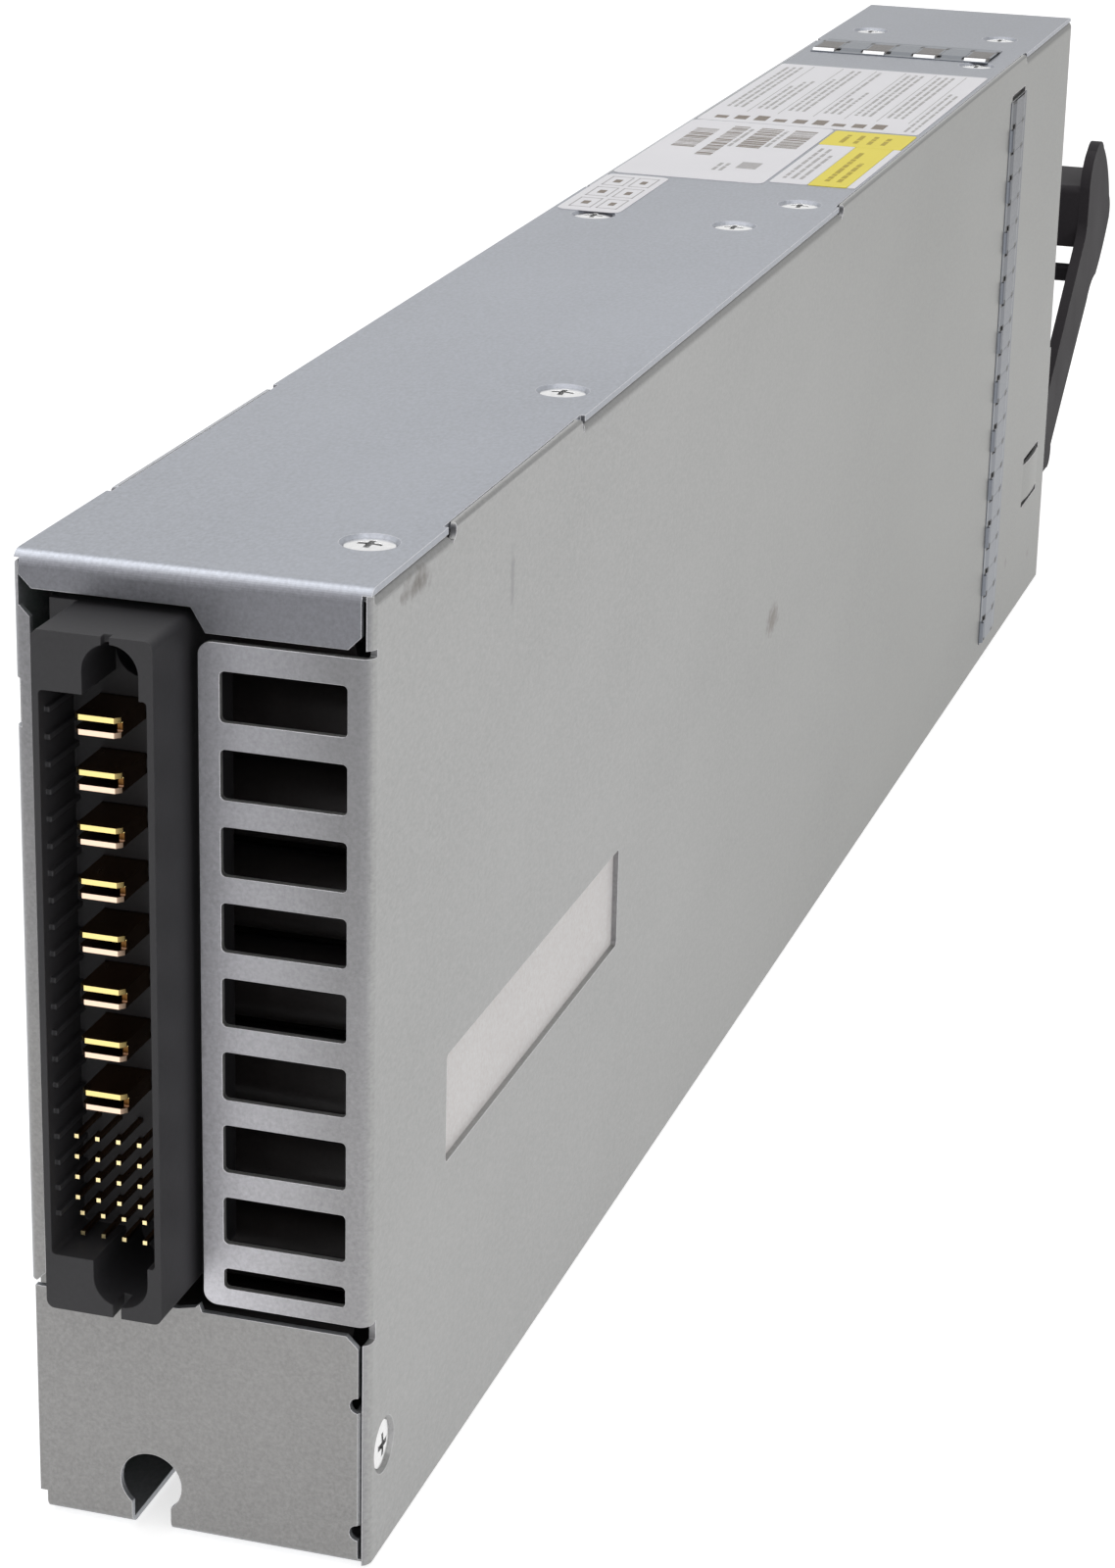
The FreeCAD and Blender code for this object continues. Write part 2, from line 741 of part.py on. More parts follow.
def front_flange():
    """Flange of the tray across the connector end, with the tab that takes the side screw."""
    left, right, high = front_flange_inset_left - half_w, half_w - front_flange_inset_right, front_flange_high
    tooth = [(flange_peak_x - flange_peak_run, high), (flange_peak_x - flange_peak / 2, high + flange_peak / 2),
             (flange_peak_x, high + flange_peak), (flange_peak_x + flange_peak / 3, high)]
    corner = [(right - lip_chamfer, high), (right, high - lip_chamfer), (right, 0)]
    face = plate_xz([(left, 0), (left, high)] + tooth + corner, y_face, sheet)
    hole = rod(keyhole_x, y_face - past, keyhole_z, (0, 1, 0), keyhole_r, sheet + 2 * past)
    reliefs = [rod(right, y_face - past, z, (0, 1, 0), relief, sheet + 2 * past)
               for z in (side_tab_low - relief, side_tab_high + relief)]
    tab = box(plate_edge - sheet, plate_edge, y_face, y_face + side_tab_length, side_tab_low, side_tab_high)
    bridge = box(right - sheet, plate_edge, y_face, y_face + sheet, side_tab_low, side_tab_high)
    tab_bend = outside_bend("z", plate_edge, y_face, -1, 1, sheet, 0, side_tab_high + past)
    tab = cut(fuse([tab, bridge]), [tab_bend])
    return [cut(face, [hole] + reliefs), tab]


def chassis_tray():
    """Bottom sheet, left wall and the front flange with the keyhole."""
    bottom = box(-half_w, plate_edge, y_face, y_end, 0, sheet)
    setback = box(-half_w - past, -wall_in, y_face - past, y_face + left_wall_setback, -past, strip_low)
    wall = cut(mirrored(wall_sheet()), [mirrored(s) for s in wall_openings()])
    body = cut(fuse([bottom, wall]),
               [setback, outside_bend("y", -half_w, 0, 1, 1, bend, y_face - past, y_end + past)])
    inner = -half_w + strip_width
    strip = plate_xz([(-half_w, strip_low), (-half_w, strip_high), (inner - strip_chamfer, strip_high),
                      (inner, strip_high - strip_chamfer), (inner, strip_low + strip_chamfer),
                      (inner - strip_chamfer, strip_low)], y_face, sheet)
    returned = mirrored(wall_return(return_low, roof - sheet))
    shape = fuse([body, strip, mirrored(strap()), returned] + front_flange())
    shape = cut(shape, [outside_bend("x", y_face, 0, 1, 1, bend, -half_w - past, half_w),
                        outside_bend("z", -half_w, y_face, 1, 1, bend, strip_low, case_height + past),
                        outside_bend("z", -half_w, y_end, 1, -1, bend, return_low, case_height + past)])
    slot = box(keyhole_x - keyhole_slot / 2, keyhole_x + keyhole_slot / 2, y_face - past, y_face + keyhole_run,
               -past, keyhole_z)
    bite_high = strip_high - bite_drop
    bite = box(-half_w - past, -half_w + bite_depth, y_face - past, y_face + sheet + past,
               bite_high - bite_height, bite_high)
    corner = box(-half_w - past, -half_w + corner_step_wide, y_face - past, y_face + left_wall_setback,
                 -past, corner_step_high)
    shape = cut(shape, [slot, bite, corner, side_dished_hole()])
    keep("chassis_tray", drill_cover_screws(shape))


def drill_cover_screws(shape):
    """Dished holes for the cover screws, wherever this sheet lies under one."""
    return cut(shape, [dished_hole(x, from_face(y), case_height, screw_length + 2 * past)
                       for x, y in cover_screw_places])


def top_cover():
    """Top sheet, let in between the walls, with lips folded down at both ends."""
    plate = box(-plate_edge, plate_edge, y_face, y_end, roof, case_height)
    wings = []
    for start, end, width in tab_stretches:
        a = from_face(start) + (relief if start > 0 else 0)
        b = min(from_face(end) - (relief if end < case_length else 0), y_end)
        wings.append(box(-half_w + cover_overhang, half_w - cover_overhang, a, b, roof, case_height))
    right = plate_edge - lip_inset
    front = [(-plate_edge, case_height), (-plate_edge, case_height - lip_short + lip_chamfer),
             (-plate_edge + lip_chamfer, case_height - lip_short),
             (lip_step_x - lip_step_run, case_height - lip_short), (lip_step_x, case_height - lip_tall),
             (right - lip_chamfer, case_height - lip_tall), (right, case_height - lip_tall + lip_chamfer),
             (right, case_height)]
    lip = plate_xz(front, y_face, sheet)
    end_lip_half = half_w - strip_width - seam
    end_lip = box(-end_lip_half, end_lip_half, y_end - sheet, y_end, case_height - back_lip, case_height)
    shape = fuse([plate, lip, end_lip] + wings)
    shape = cut(shape, [outside_bend("x", y, case_height, inward, -1, cover_bend, -half_w - past, half_w + past)
                        for y, inward in ((y_face, 1), (y_end, -1))])
    keep("top_cover", drill_cover_screws(shape))


def cover_fixings():
    """Cover screws, side screw and the crossbar that takes the middle pair."""
    keep("cover_screws", [flat_head_screw(screw_length).translated(V(x, from_face(y), case_height - screw_sink))
                          for x, y in cover_screw_places])
    side = flat_head_screw(side_screw_length)
    side.rotate(V(0, 0, 0), V(0, 1, 0), 90)
    side.translate(V(half_w - screw_sink, from_face(side_screw_y), side_screw_z))
    keep("side_screw", side)
    y0 = from_face(crossbar_screws) - crossbar_width / 2
    y1 = y0 + crossbar_width
    x0, x1 = board_x + crossbar_gap, wall_in - liner
    top = roof - sheet
    between_tabs = half_w - wide_tab - seam
    bar = box(x0, x1, y0, y1, top - crossbar_metal, top)
    pad = box(-between_tabs, between_tabs, y0, y1, top - crossbar_metal, roof)
    webs = [box(x0, x1, y, y + crossbar_metal, top - crossbar_depth, top) for y in (y0, y1 - crossbar_metal)]
    keep("cover_crossbar", drill_cover_screws(fuse([bar, pad] + webs)))


def insulators():
    """Insulating sheets on the inner faces of both walls."""
    a, b = from_face(liner_start), from_end(liner_back)
    liner_high = case_height - liner_top_gap
    keep("window_insulator", box(wall_in - liner, wall_in, a, b, liner_low, liner_high))
    holes = [rod(-half_w, from_face(y), z, (1, 0, 0), standoff_r + seam, board_gap + sheet)
             for y, z in standoff_places]
    sheet_behind_board = box(-wall_in, -wall_in + liner, a, b, liner_low - board_liner_more,
                             liner_high + board_liner_more)
    keep("board_insulator", cut(sheet_behind_board, holes))


# ---------------------------------------------------------------- grounding springs
def spring_strip(count):
    """Strip lying along +Z from the origin, its width along +Y, its fingers bowed towards +X."""
    t, w = spring_metal, spring_width
    crest = spring_foot + spring_slope
    outline = [(0, 0), (t, 0), (t, spring_foot), (spring_bow, crest), (spring_bow, w - crest),
               (t, w - spring_foot), (t, w), (0, w), (0, w - spring_foot), (spring_bow - t, w - crest),
               (spring_bow - t, crest), (0, spring_foot)]
    edge = Part.makePolygon([V(x, y, 0) for x, y in outline + outline[:1]])
    strip = Part.Face(edge).extrude(V(0, 0, count * finger_pitch))
    h = finger_notch / 2
    tools = []
    for i in range(1, count):
        z = i * finger_pitch
        tools.append(box(-past, past, near_notch, w - far_notch, z - finger_slit / 2, z + finger_slit / 2))
        tools += [box(-past, past, y - h, y + h, z - h, z + h) for y in (near_notch, w - far_notch)]
    catches = []
    for i in range(0, count, 2):
        z = (i + 0.5) * finger_pitch - catch_length / 2
        tools.append(box(-past, past, 2 * catch_r, 2 * catch_r + catch_opening, z, z + catch_length))
        bead = rod(0, catch_r, z, (0, 0, 1), catch_r, catch_length)
        catches.append(bead.common(box(0, past, 0, 2 * catch_r, z, z + catch_length)))
    return fuse([cut(strip, tools)] + catches)


def grounding_springs():
    y = from_end(spring_back)
    side = spring_strip(side_finger_count)
    side.translate(V(half_w, y, side_spring_low))
    keep("ground_spring_right", side)
    keep("ground_spring_left", mirrored(side))
    top = spring_strip(top_finger_count)
    top.rotate(V(0, 0, 0), V(0, 1, 0), 90)
    top = top.mirror(V(0, 0, 0), V(0, 0, 1))
    top.translate(V(top_spring_left - half_w, y, case_height))
    keep("ground_spring_top", top)


# ---------------------------------------------------------------- blind-mate connector
def power_heights():
    """Middle height of each power contact."""
    return [power_first_z - i * power_pitch for i in range(power_count)]


def leaf_heights(z):
    """Middle heights of the two leaves of a contact."""
    return [z - blade_gap / 2, z + blade_gap / 2]


def leaf_box(z, x0, x1, y0, y1, gap=0.0):
    half = blade_thick / 2 + gap
    return box(x0, x1, y0, y1, z - half, z + half)


def pin_places():
    """(column index, x, z, row index) of the signal pins, from the top row down."""
    columns = spread(pin_columns, pin_pitch, shroud_left + pin_inset)
    return [(column, x, pin_top_z - row * pin_pitch, row)
            for row in range(pin_rows) for column, x in enumerate(columns)]


def tail_y(column):
    """Tails of the outer columns come down further back."""
    return housing_end + tail_back + column * tail_step


def connector_housing():
    """Moulded housing: open shroud, two guide sockets with their keys, and a foot on the board."""
    body = rounded_box(shroud_left, shroud_right, rim, housing_end, shroud_low, shroud_high, shroud_corner, "y")
    foot = box(board_x, shroud_left + 2 * shroud_wall, y_face + lip_room + seam, housing_end,
               shroud_low, shroud_high)
    floor = rim + cavity_depth
    cavity_low, cavity_high = shroud_low + guide_block, shroud_high - guide_block
    tools = [rounded_box(shroud_left + shroud_wall, shroud_right - shroud_wall, rim - past, floor,
                         cavity_low, cavity_high, cavity_corner, "y")]
    for z, inner, outer, key in ((guide_low_z, cavity_low + past, shroud_low - past, guide_r),
                                 (guide_high_z, cavity_high - past, shroud_high + past, guide_r / 3)):
        tools.append(rod(guide_x, rim - past, z, (0, 1, 0), guide_r, guide_depth))
        tools.append(box(guide_x - guide_r, guide_x + guide_r, rim - past, floor, *sorted((z, inner))))
        tools.append(box(guide_x - 2 * cavity_corner, guide_x, rim - past, rim + key, *sorted((z, outer))))
    back = housing_end + past
    tools += [leaf_box(leaf, blade_x - fit, blade_x + blade_width + fit, rim, back, fit)
              for z in power_heights() for leaf in leaf_heights(z)]
    half = pin_size / 2 + fit
    tools += [box(x - half, x + half, rim, back, z - half, z + half) for column, x, z, row in pin_places()]
    ticks = []
    z = cavity_high - tick_inset
    while z > cavity_low + tick_inset - past:
        ticks.append(box(shroud_left + shroud_wall / 2, shroud_left + shroud_wall + tick_size,
                         rim + tick_inset / 2, floor + fit, z, z + tick_size))
        z -= tick_pitch
    keep("connector_housing", fuse([cut(fuse([body, foot]), tools)] + ticks))


def connector_contacts():
    """Gold contacts and pins, each with tails bent down through the board."""
    end_x = board_x - board_thick - tail_past_board
    tip_y = rim + blade_back_from_rim
    last_y = tail_y(0) + tail_width
    right = blade_x + blade_width
    contacts = []
    for z in power_heights():
        pieces = []
        for leaf in leaf_heights(z):
            flat = leaf_box(leaf, blade_x, right, tip_y, last_y)
            corners = edges_along(flat, "z", x=blade_x, y=tip_y) + edges_along(flat, "z", x=right, y=tip_y)
            pieces.append(flat.makeChamfer(blade_chamfer, corners))
            pieces.append(leaf_box(leaf, end_x, blade_x + past, tail_y(0), last_y))
        pieces.append(box(right - blade_web, right, tip_y + blade_web_setback, rim + cavity_depth - fit,
                          *leaf_heights(z)))
        contacts.append(fuse(pieces))
    keep("power_blades", contacts)
    pins = []
    half = pin_size / 2
    for column, x, z, row in pin_places():
        tip_y = rim + pin_back_from_rim + (pin_short_by if row >= pin_rows - 2 else 0)
        last_y = tail_y(column) + pin_size
        pins.append(fuse([box(x - half, x + half, tip_y, last_y, z - half, z + half),
                          box(end_x, x, tail_y(column), last_y, z - half, z + half)]))
    keep("signal_pins", pins)


# ---------------------------------------------------------------- boards
def main_board():
    """Board with the holes for its screws and for the connector's tails, its standoffs and screws."""
    x1 = board_x
    x0 = x1 - board_thick
    holes = [rod(x0 - past, from_face(y), z, (1, 0, 0), board_screw_r + fit, board_thick + 2 * past)
             for y, z in standoff_places]
    holes += [leaf_box(leaf, x0 - past, x1 + past, tail_y(0) - fit, tail_y(0) + tail_width + fit, fit)
              for z in power_heights() for leaf in leaf_heights(z)]
    half = pin_size / 2 + fit
    for column, x, z, row in pin_places():
        y = tail_y(column) + pin_size / 2
        holes.append(box(x0 - past, x1 + past, y - half, y + half, z - half, z + half))
    board = box(x0, x1, from_face(board_start), from_face(board_end), board_low, board_high)
    keep("main_board", cut(board, holes))
    standoffs = []
    screws = []
    for y, z in standoff_places:
        post = rod(-wall_in, from_face(y), z, (1, 0, 0), standoff_r, board_gap)
        thread = rod(-wall_in + standoff_floor, from_face(y), z, (1, 0, 0), board_screw_r + fit, board_gap)
        standoffs.append(post.cut(thread))
        head = rod(x1, from_face(y), z, (1, 0, 0), board_screw_head_r, board_screw_head)
        head = head.makeChamfer(board_screw_chamfer, edges_centred(head, "x", x1 + board_screw_head))
        screw_end = -wall_in + standoff_floor + 2 * fit
        screws.append(fuse([head, rod(screw_end, from_face(y), z, (1, 0, 0), board_screw_r, x1 - screw_end)]))
    keep("board_standoffs", standoffs)
    keep("board_screws", screws)


def on_board(y, z, length, height, tall, r=0.0, lift=0.0):
    """A block standing on the board: centre y and z, length along Y, height along Z."""
    y = from_face(y)
    low = board_x + lift
    a = (low, low + tall, y - length / 2, y + length / 2, z - height / 2, z + height / 2)
    return rounded_box(*a, r, "x") if r else box(*a)


def groove_ring(x, y, z, axis, r, width, depth):
    """Tool for the rolled groove of a capacitor can."""
    outer = rod(x, y, z, axis, r + past, width)
    return outer.cut(rod(x, y, z, axis, r - depth, width))


def output_stage():
    """Capacitor bank behind the vents, busbars, and the rectifiers with their heatsink."""
    rows = spread(int((board_height - bank_margin) / bank_pitch), bank_pitch, board_mid)
    caps = []
    for column in range(bank_columns):
        y = from_face(bank_start + bank_can_r + column * bank_pitch)
        for z in rows:
            groove = groove_ring(board_x + can_groove_at, y, z, (1, 0, 0), bank_can_r, can_groove,
                                 can_groove_depth)
            caps.append(rod(board_x, y, z, (1, 0, 0), bank_can_r, bank_can_tall).cut(groove))
    keep("output_capacitors", caps)
    bars = []
    for z in spread(2, board_height / 2.5, board_mid):
        foot = on_board(bars_start + bar_foot / 2, z, bar_foot, bar_width, bar_thick)
        rise = on_board(bars_start + bar_foot - bar_thick / 2, z, bar_thick, bar_width, bar_rise)
        bars.append(fuse([foot, rise]))
    keep("output_busbars", bars)
    middle = rectifier_start + sink_length / 2
    sink_height = board_height - 2 * sink_margin
    fin_rows = spread(1 + int((sink_height - sink_fin) / sink_pitch), sink_pitch, board_mid)
    base = on_board(middle, board_mid, sink_length, sink_height, sink_base, lift=package_tall)
    fins = [on_board(middle, z, sink_length, sink_fin, sink_tall, lift=package_tall) for z in fin_rows]
    keep("rectifier_heatsink", fuse([base] + fins))
    package_rows = spread(1 + int((sink_height - package_width) / package_pitch), package_pitch, board_mid)
    keep("rectifier_transistors", [on_board(y, z, package_length, package_width, package_tall)
                                   for y in spread(2, sink_length / 2, middle) for z in package_rows])


def transformers():
    """Two shell-type transformers with their windings round the middle leg, and the resonant capacitors."""
    cores = []
    windings = []
    y = core_start + core_room / 2
    end = core_length / 2
    low = board_x + core_seat
    inside = core_height / 2 - core_limb
    hole_half = core_leg / 2 + coil_gap
    for z in spread(2, board_height / 2, board_mid):
        y_mid = from_face(y)
        body = on_board(y, z, core_length, core_height, core_tall, lift=core_seat)
        window = box(low + core_limb, low + core_tall - core_limb, y_mid - end - past, y_mid + end + past,
                     z - inside, z + inside)
        leg = on_board(y, z, core_length, core_leg, core_tall, lift=core_seat)
        seat = on_board(y, z, core_seat_length, core_seat_height, core_seat)
        cores.append(fuse([cut(body, [window]), leg, seat]))
        coil = rounded_box(low + core_limb + past, low + core_tall - core_limb - past,
                           y_mid - end - coil_out, y_mid + end + coil_out,
                           z - inside + coil_gap, z + inside - coil_gap, coil_corner, "x")
        hole = box(low, low + core_tall, y_mid - end - coil_gap, y_mid + end + coil_gap,
                   z - hole_half, z + hole_half)
        feet = [on_board(foot_y, foot_z, coil_foot, coil_foot, core_limb + 2 * past)
                for foot_y in spread(2, core_length + 2 * coil_foot_out, y)
                for foot_z in spread(3, coil_foot_pitch, z)]
        windings.append(fuse([cut(coil, [hole])] + feet))
    keep("transformer_cores", cores)
    keep("transformer_windings", windings)
    rows = spread(block_count, (board_height - block_margin) / block_count, board_mid)
    keep("resonant_capacitors", [on_board(block_start + block_length / 2, z, block_length, block_width,
                                          block_tall, block_corner) for z in rows])


def primary_stage():
    """Primary heatsink with its transistors, the control card, and the bulk capacitors beyond them."""
    middle = primary_start + sink_length / 2
    sink_z = board_mid
    fin_places = spread(1 + int((sink_length - primary_fin) / primary_fin_pitch), primary_fin_pitch, middle)
    wall = on_board(middle, sink_z, sink_length, primary_wall, primary_height)
    fins = [on_board(y, sink_z, primary_fin, primary_height, primary_height) for y in fin_places]
    keep("primary_heatsink", fuse([wall] + fins))
    devices = []
    for i, y in enumerate(fin_places[:-1]):
        side = 1 if i % 2 else -1
        z = sink_z + side * (primary_wall + device_thick) / 2
        between = y + primary_fin_pitch / 2
        package = on_board(between, z, device_length, device_thick, device_high, lift=device_stand)
        devices.append(fuse([package, on_board(between, z, device_length / 2, device_lead, device_stand)]))
    keep("primary_transistors", devices)
    card_z = board_mid + card_rise
    keep("control_card", on_board(middle, card_z, sink_length, card_thick, card_tall))
    places = spread(len(chip_sizes), sink_length / (len(chip_sizes) + 0.2), middle)
    chip_z = card_z + (card_thick + chip_thick) / 2
    keep("control_chips", [on_board(y, chip_z, size, chip_thick, size, lift=chip_rise)
                           for y, size in zip(places, chip_sizes)])
    count = int(board_height / (2 * bulk_r + bulk_gap))
    pitch = min(bulk_pitch, (board_height - 2 * bulk_r) / (count - 1))
    cans = []
    for z in spread(count, pitch, board_mid):
        y = from_face(bulk_start)
        groove = groove_ring(board_x + bulk_r, y + bulk_groove_at, z, (0, 1, 0), bulk_r, bulk_groove,
                             bulk_groove_depth)
        cans.append(rod(board_x + bulk_r, y, z, (0, 1, 0), bulk_r, bulk_length).cut(groove))
    keep("bulk_capacitors", cans)


def ring_core(x, y, z, r_out, r_in, thick):
    outer = rod(x, y, z, (0, 1, 0), r_out, thick)
    return outer.cut(rod(x, y - past, z, (0, 1, 0), r_in, thick + 2 * past))


def wire_turn(r_in, r_out, thick, size, angle, place):
    """One square turn of wire round a ring core, at an angle round the ring's axis."""
    low, high, half = r_in - 2 * fit, r_out + 2 * fit, thick / 2 + 2 * fit
    outer = box(low - size, high + size, -half - size, half + size, -size / 2, size / 2)
    turn = outer.cut(box(low, high, -half, half, -size, size))
    turn.rotate(V(0, 0, 0), V(0, 1, 0), angle)
    return turn.translated(place)


def input_stage():
    """Chokes, bridge, line capacitors, fuse, relay and standby transformer near the inlet."""
    start = from_face(input_start)
    boost_x = board_x + boost_r_out + boost_lift
    boost_z = board_high - boost_drop
    boost_y = input_start + boost_thick / 2
    keep("boost_choke_core", ring_core(boost_x, start, boost_z, boost_r_out, boost_r_in, boost_thick))
    base = on_board(boost_y, boost_z, boost_thick, boost_base_width, boost_base)
    keep("boost_choke_base", base.cut(rod(boost_x, start - past, boost_z, (0, 1, 0), boost_r_out + fit,
                                          boost_thick + 2 * past)))
    place = V(boost_x, from_face(boost_y), boost_z)
    keep("boost_choke_winding", [wire_turn(boost_r_in, boost_r_out, boost_thick, wire, angle, place)
                                 for angle in spread(boost_turns, boost_sweep / (boost_turns - 1))])
    line_x = board_x + line_r_out + line_lift
    line_y = input_start + line_setback + line_thick / 2
    cores = []
    coils = []
    for z in (board_low + line_rise, board_low + line_rise + line_pitch):
        ring = ring_core(line_x, start + line_setback, z, line_r_out, line_r_in, line_thick)
        saddle = on_board(line_y, z, line_thick, line_saddle, line_saddle_tall)
        saddle = saddle.cut(rod(line_x, start, z, (0, 1, 0), line_r_out, 2 * line_thick))
        cores.append(fuse([ring, saddle]))
        place = V(line_x, from_face(line_y), z)
        coils += [wire_turn(line_r_in, line_r_out, line_thick, line_wire,
                            side * (line_turn_first + i * line_turn_step), place)
                  for side in (1, -1) for i in range(line_turns)]
    keep("line_choke_cores", cores)
    keep("line_choke_windings", coils)
    bridge_low = board_low + line_rise + line_pitch + line_r_out + 2 * fit + line_wire + bridge_gap
    bridge_high = boost_z - boost_r_out - 2 * fit - wire - bridge_gap
    keep("bridge_rectifier", on_board(boost_y, (bridge_low + bridge_high) / 2, bridge_thick,
                                      bridge_high - bridge_low, bridge_tall))
    film_rows = [board_low + film_rise, board_low + film_rise + film_pitch]
    film_y = case_length - film_back
    keep("line_capacitors", [on_board(film_y, z, film_length, film_height, film_tall, block_corner)
                             for z in film_rows])
    standby_z = board_high - standby_drop
    standby_y = case_length - standby_back
    keep("standby_transformer", fuse([on_board(standby_y, standby_z, *standby_core),
                                      on_board(standby_y, standby_z, *standby_coil)]))
    relay_z = (film_rows[1] + film_height / 2 + standby_z - standby_coil[1] / 2) / 2
    keep("inrush_relay", on_board(case_length - relay_back, relay_z, relay_length, relay_height, relay_tall,
                                  relay_corner))
    fuse_x = board_x + fuse_lift
    fuse_y = from_end(fuse_back)
    fuse_low = board_high - fuse_drop - fuse_length
    keep("line_fuse", rod(fuse_x, fuse_y, fuse_low, (0, 0, 1), fuse_r, fuse_length))
    clips = []
    for z in (fuse_low + fuse_clip_inset, fuse_low + fuse_length - fuse_clip_inset - fuse_clip):
        clip = box(board_x, fuse_x + past, fuse_y - fuse_clip_wide / 2, fuse_y + fuse_clip_wide / 2,
                   z, z + fuse_clip)
        clips.append(clip.cut(rod(fuse_x, fuse_y, z - past, (0, 0, 1), fuse_r + fit, fuse_clip + 2 * past)))
    keep("fuse_clips", clips)


# ---------------------------------------------------------------- handle end
def fan_centres():
    upper = roof - panel - fan_gap - fan_size / 2
    return {"upper": upper, "lower": upper - fan_size - fan_gap}


def through_panel(x, z, r):
    return rod(x, panel_in - past, z, (0, 1, 0), r, panel + 2 * past)


def ring_slots(z):
    """Stamped ring grille: slots between rings, left whole along four spokes."""
    half = grille_spoke / 2
    spokes = fuse([box(-half_w, half_w, panel_in - 2 * past, panel_out + 2 * past, -half, half),
                   box(-half, half, panel_in - 2 * past, panel_out + 2 * past, -half_w, half_w)])
    spokes.rotate(V(0, 0, 0), V(0, 1, 0), 45)
    slots = []
    for i in range(ring_count):
        r = fan_tip_r - i * ring_pitch
        ring = through_panel(0, 0, r).cut(through_panel(0, 0, r - ring_slot))
        slots.append(ring.cut(spokes).translated(V(0, 0, z)))
    return slots


def inlet_face(width, height, y0, y1):
    low, high = inlet_z - height / 2, inlet_z + height / 2
    return rounded_box(-width / 2, width / 2, y0, y1, low, high, inlet_corner, "y")


def fan_screw_places(z):
    pitch = fan_size - 2 * fan_hole_inset
    return [(x, height) for x in spread(2, pitch) for height in spread(2, pitch, z)]


def fan_panel():
    """Panel of the handle end, with ring grilles, inlet cut-out and a top flange for cover screws."""
    plate = box(-plate_edge, plate_edge, panel_in, panel_out, sheet, roof)
    flange_half = half_w - narrow_tab - seam
    flange = box(-flange_half, flange_half, from_end(flange_screw_back + panel_flange_past_screw), panel_out,
                 roof - panel, roof)
    notch = box(inlet_flange_width / 2 + seam, half_w, panel_in - past, panel_out + past,
                panel_notch_low, panel_notch_high)
    under_tab = box(flange_half, half_w, panel_in - past, panel_out + past, roof - sheet - seam, roof + past)
    tools = [notch, mirrored(notch), under_tab, mirrored(under_tab)]
    for z in fan_centres().values():
        tools += ring_slots(z) + [through_panel(x, height, fan_hole_r) for x, height in fan_screw_places(z)]
    tools.append(inlet_face(inlet_width + 2 * fit, inlet_height + 2 * fit, panel_in - past, panel_out + past))
    tools += [through_panel(x, light_z, light_r + fit) for x in spread(light_count, light_pitch)]
    keep("fan_panel", drill_cover_screws(cut(fuse([plate, flange]), tools)))


def inlet_pin_shapes(gap):
    tip_y = inlet_front - inlet_mouth_depth + inlet_pin_length
    back = inlet_back - board_thick - inlet_pin_past
    w = inlet_pin_width / 2 + gap
    t = inlet_pin_thick / 2 + gap
    line_z = inlet_z - inlet_line_drop
    places = [(x, line_z) for x in spread(2, inlet_pin_spread)] + [(0, inlet_z + inlet_earth_rise)]
    return [box(x - w, x + w, back, tip_y, z - t, z + t) for x, z in places]


def inlet():
    """Appliance inlet: moulded body with a deep mouth, three flat pins, and the filter board behind it."""
    body = inlet_face(inlet_width, inlet_height, inlet_back, panel_out)
    flange = inlet_face(inlet_flange_width, inlet_flange_height, panel_out, inlet_front)
    flange = flange.makeChamfer(inlet_flange_chamfer, edges_centred(flange, "y", inlet_front))
    mouth = inlet_face(inlet_mouth_width, inlet_mouth_height, inlet_front - inlet_mouth_depth,
                       inlet_front + past)
    keep("inlet_housing", cut(fuse([body, flange]), [mouth] + inlet_pin_shapes(fit)))
    keep("inlet_pins", inlet_pin_shapes(0))
    board = box(board_x, filter_board_half, inlet_back - board_thick, inlet_back, filter_board_low,
                filter_board_high)
    keep("filter_board", cut(board, inlet_pin_shapes(fit)))


def status_lights():
    lights = []
    for x in spread(light_count, light_pitch):
        pipe = rod(x, panel_in - light_length, light_z, (0, 1, 0), light_r, light_length + panel + light_proud)
        collar = rod(x, panel_in - light_collar_length, light_z, (0, 1, 0), light_r + light_collar,
                     light_collar_length)
        lights.append(fuse([pipe, collar]))
    keep("status_lights", lights)


def fan_frame(name, z):
    """Square fan housing: round bore, four corner holes, base and struts at the inner side."""
    h = fan_size / 2
    y0 = panel_in - fan_depth
    body = rounded_box(-h, h, y0, panel_in, z - h, z + h, fan_corner, "y")
    tools = [rod(0, y0 - past, z, (0, 1, 0), fan_bore_r, fan_depth + 2 * past)]
    for sx in (-1, 1):
        for sz in (-1, 1):
            x0, x1 = sorted((sx * (h - fan_waist_depth), sx * (h + past)))
            z0, z1 = sorted((z + sz * (h - fan_waist_depth), z + sz * (h + past)))
            tools.append(box(x0, x1, y0 + fan_waist, panel_in - fan_waist, z0, z1))
    tools += [rod(x, y0 - past, height, (0, 1, 0), fan_pilot_r, fan_depth + 2 * past)
              for x, height in fan_screw_places(z)]
    struts = []
    for i in range(3):
        strut = box(-fan_strut / 2, fan_strut / 2, y0, y0 + fan_base,
                    fan_hub_r - past, fan_bore_r + fan_wall / 2)
        strut.rotate(V(0, 0, 0), V(0, 1, 0), 120.0 * i + 30.0)
        struts.append(strut.translated(V(0, 0, z)))
    base = rod(0, y0, z, (0, 1, 0), fan_hub_r, fan_base)
    tube = rod(0, y0, z, (0, 1, 0), fan_bearing_r, fan_bearing_length)
    shape = fuse([cut(body, tools), base, tube] + struts)
    keep(name, shape.cut(rod(0, y0 + fan_base, z, (0, 1, 0), fan_shaft_r + fit, fan_depth)))


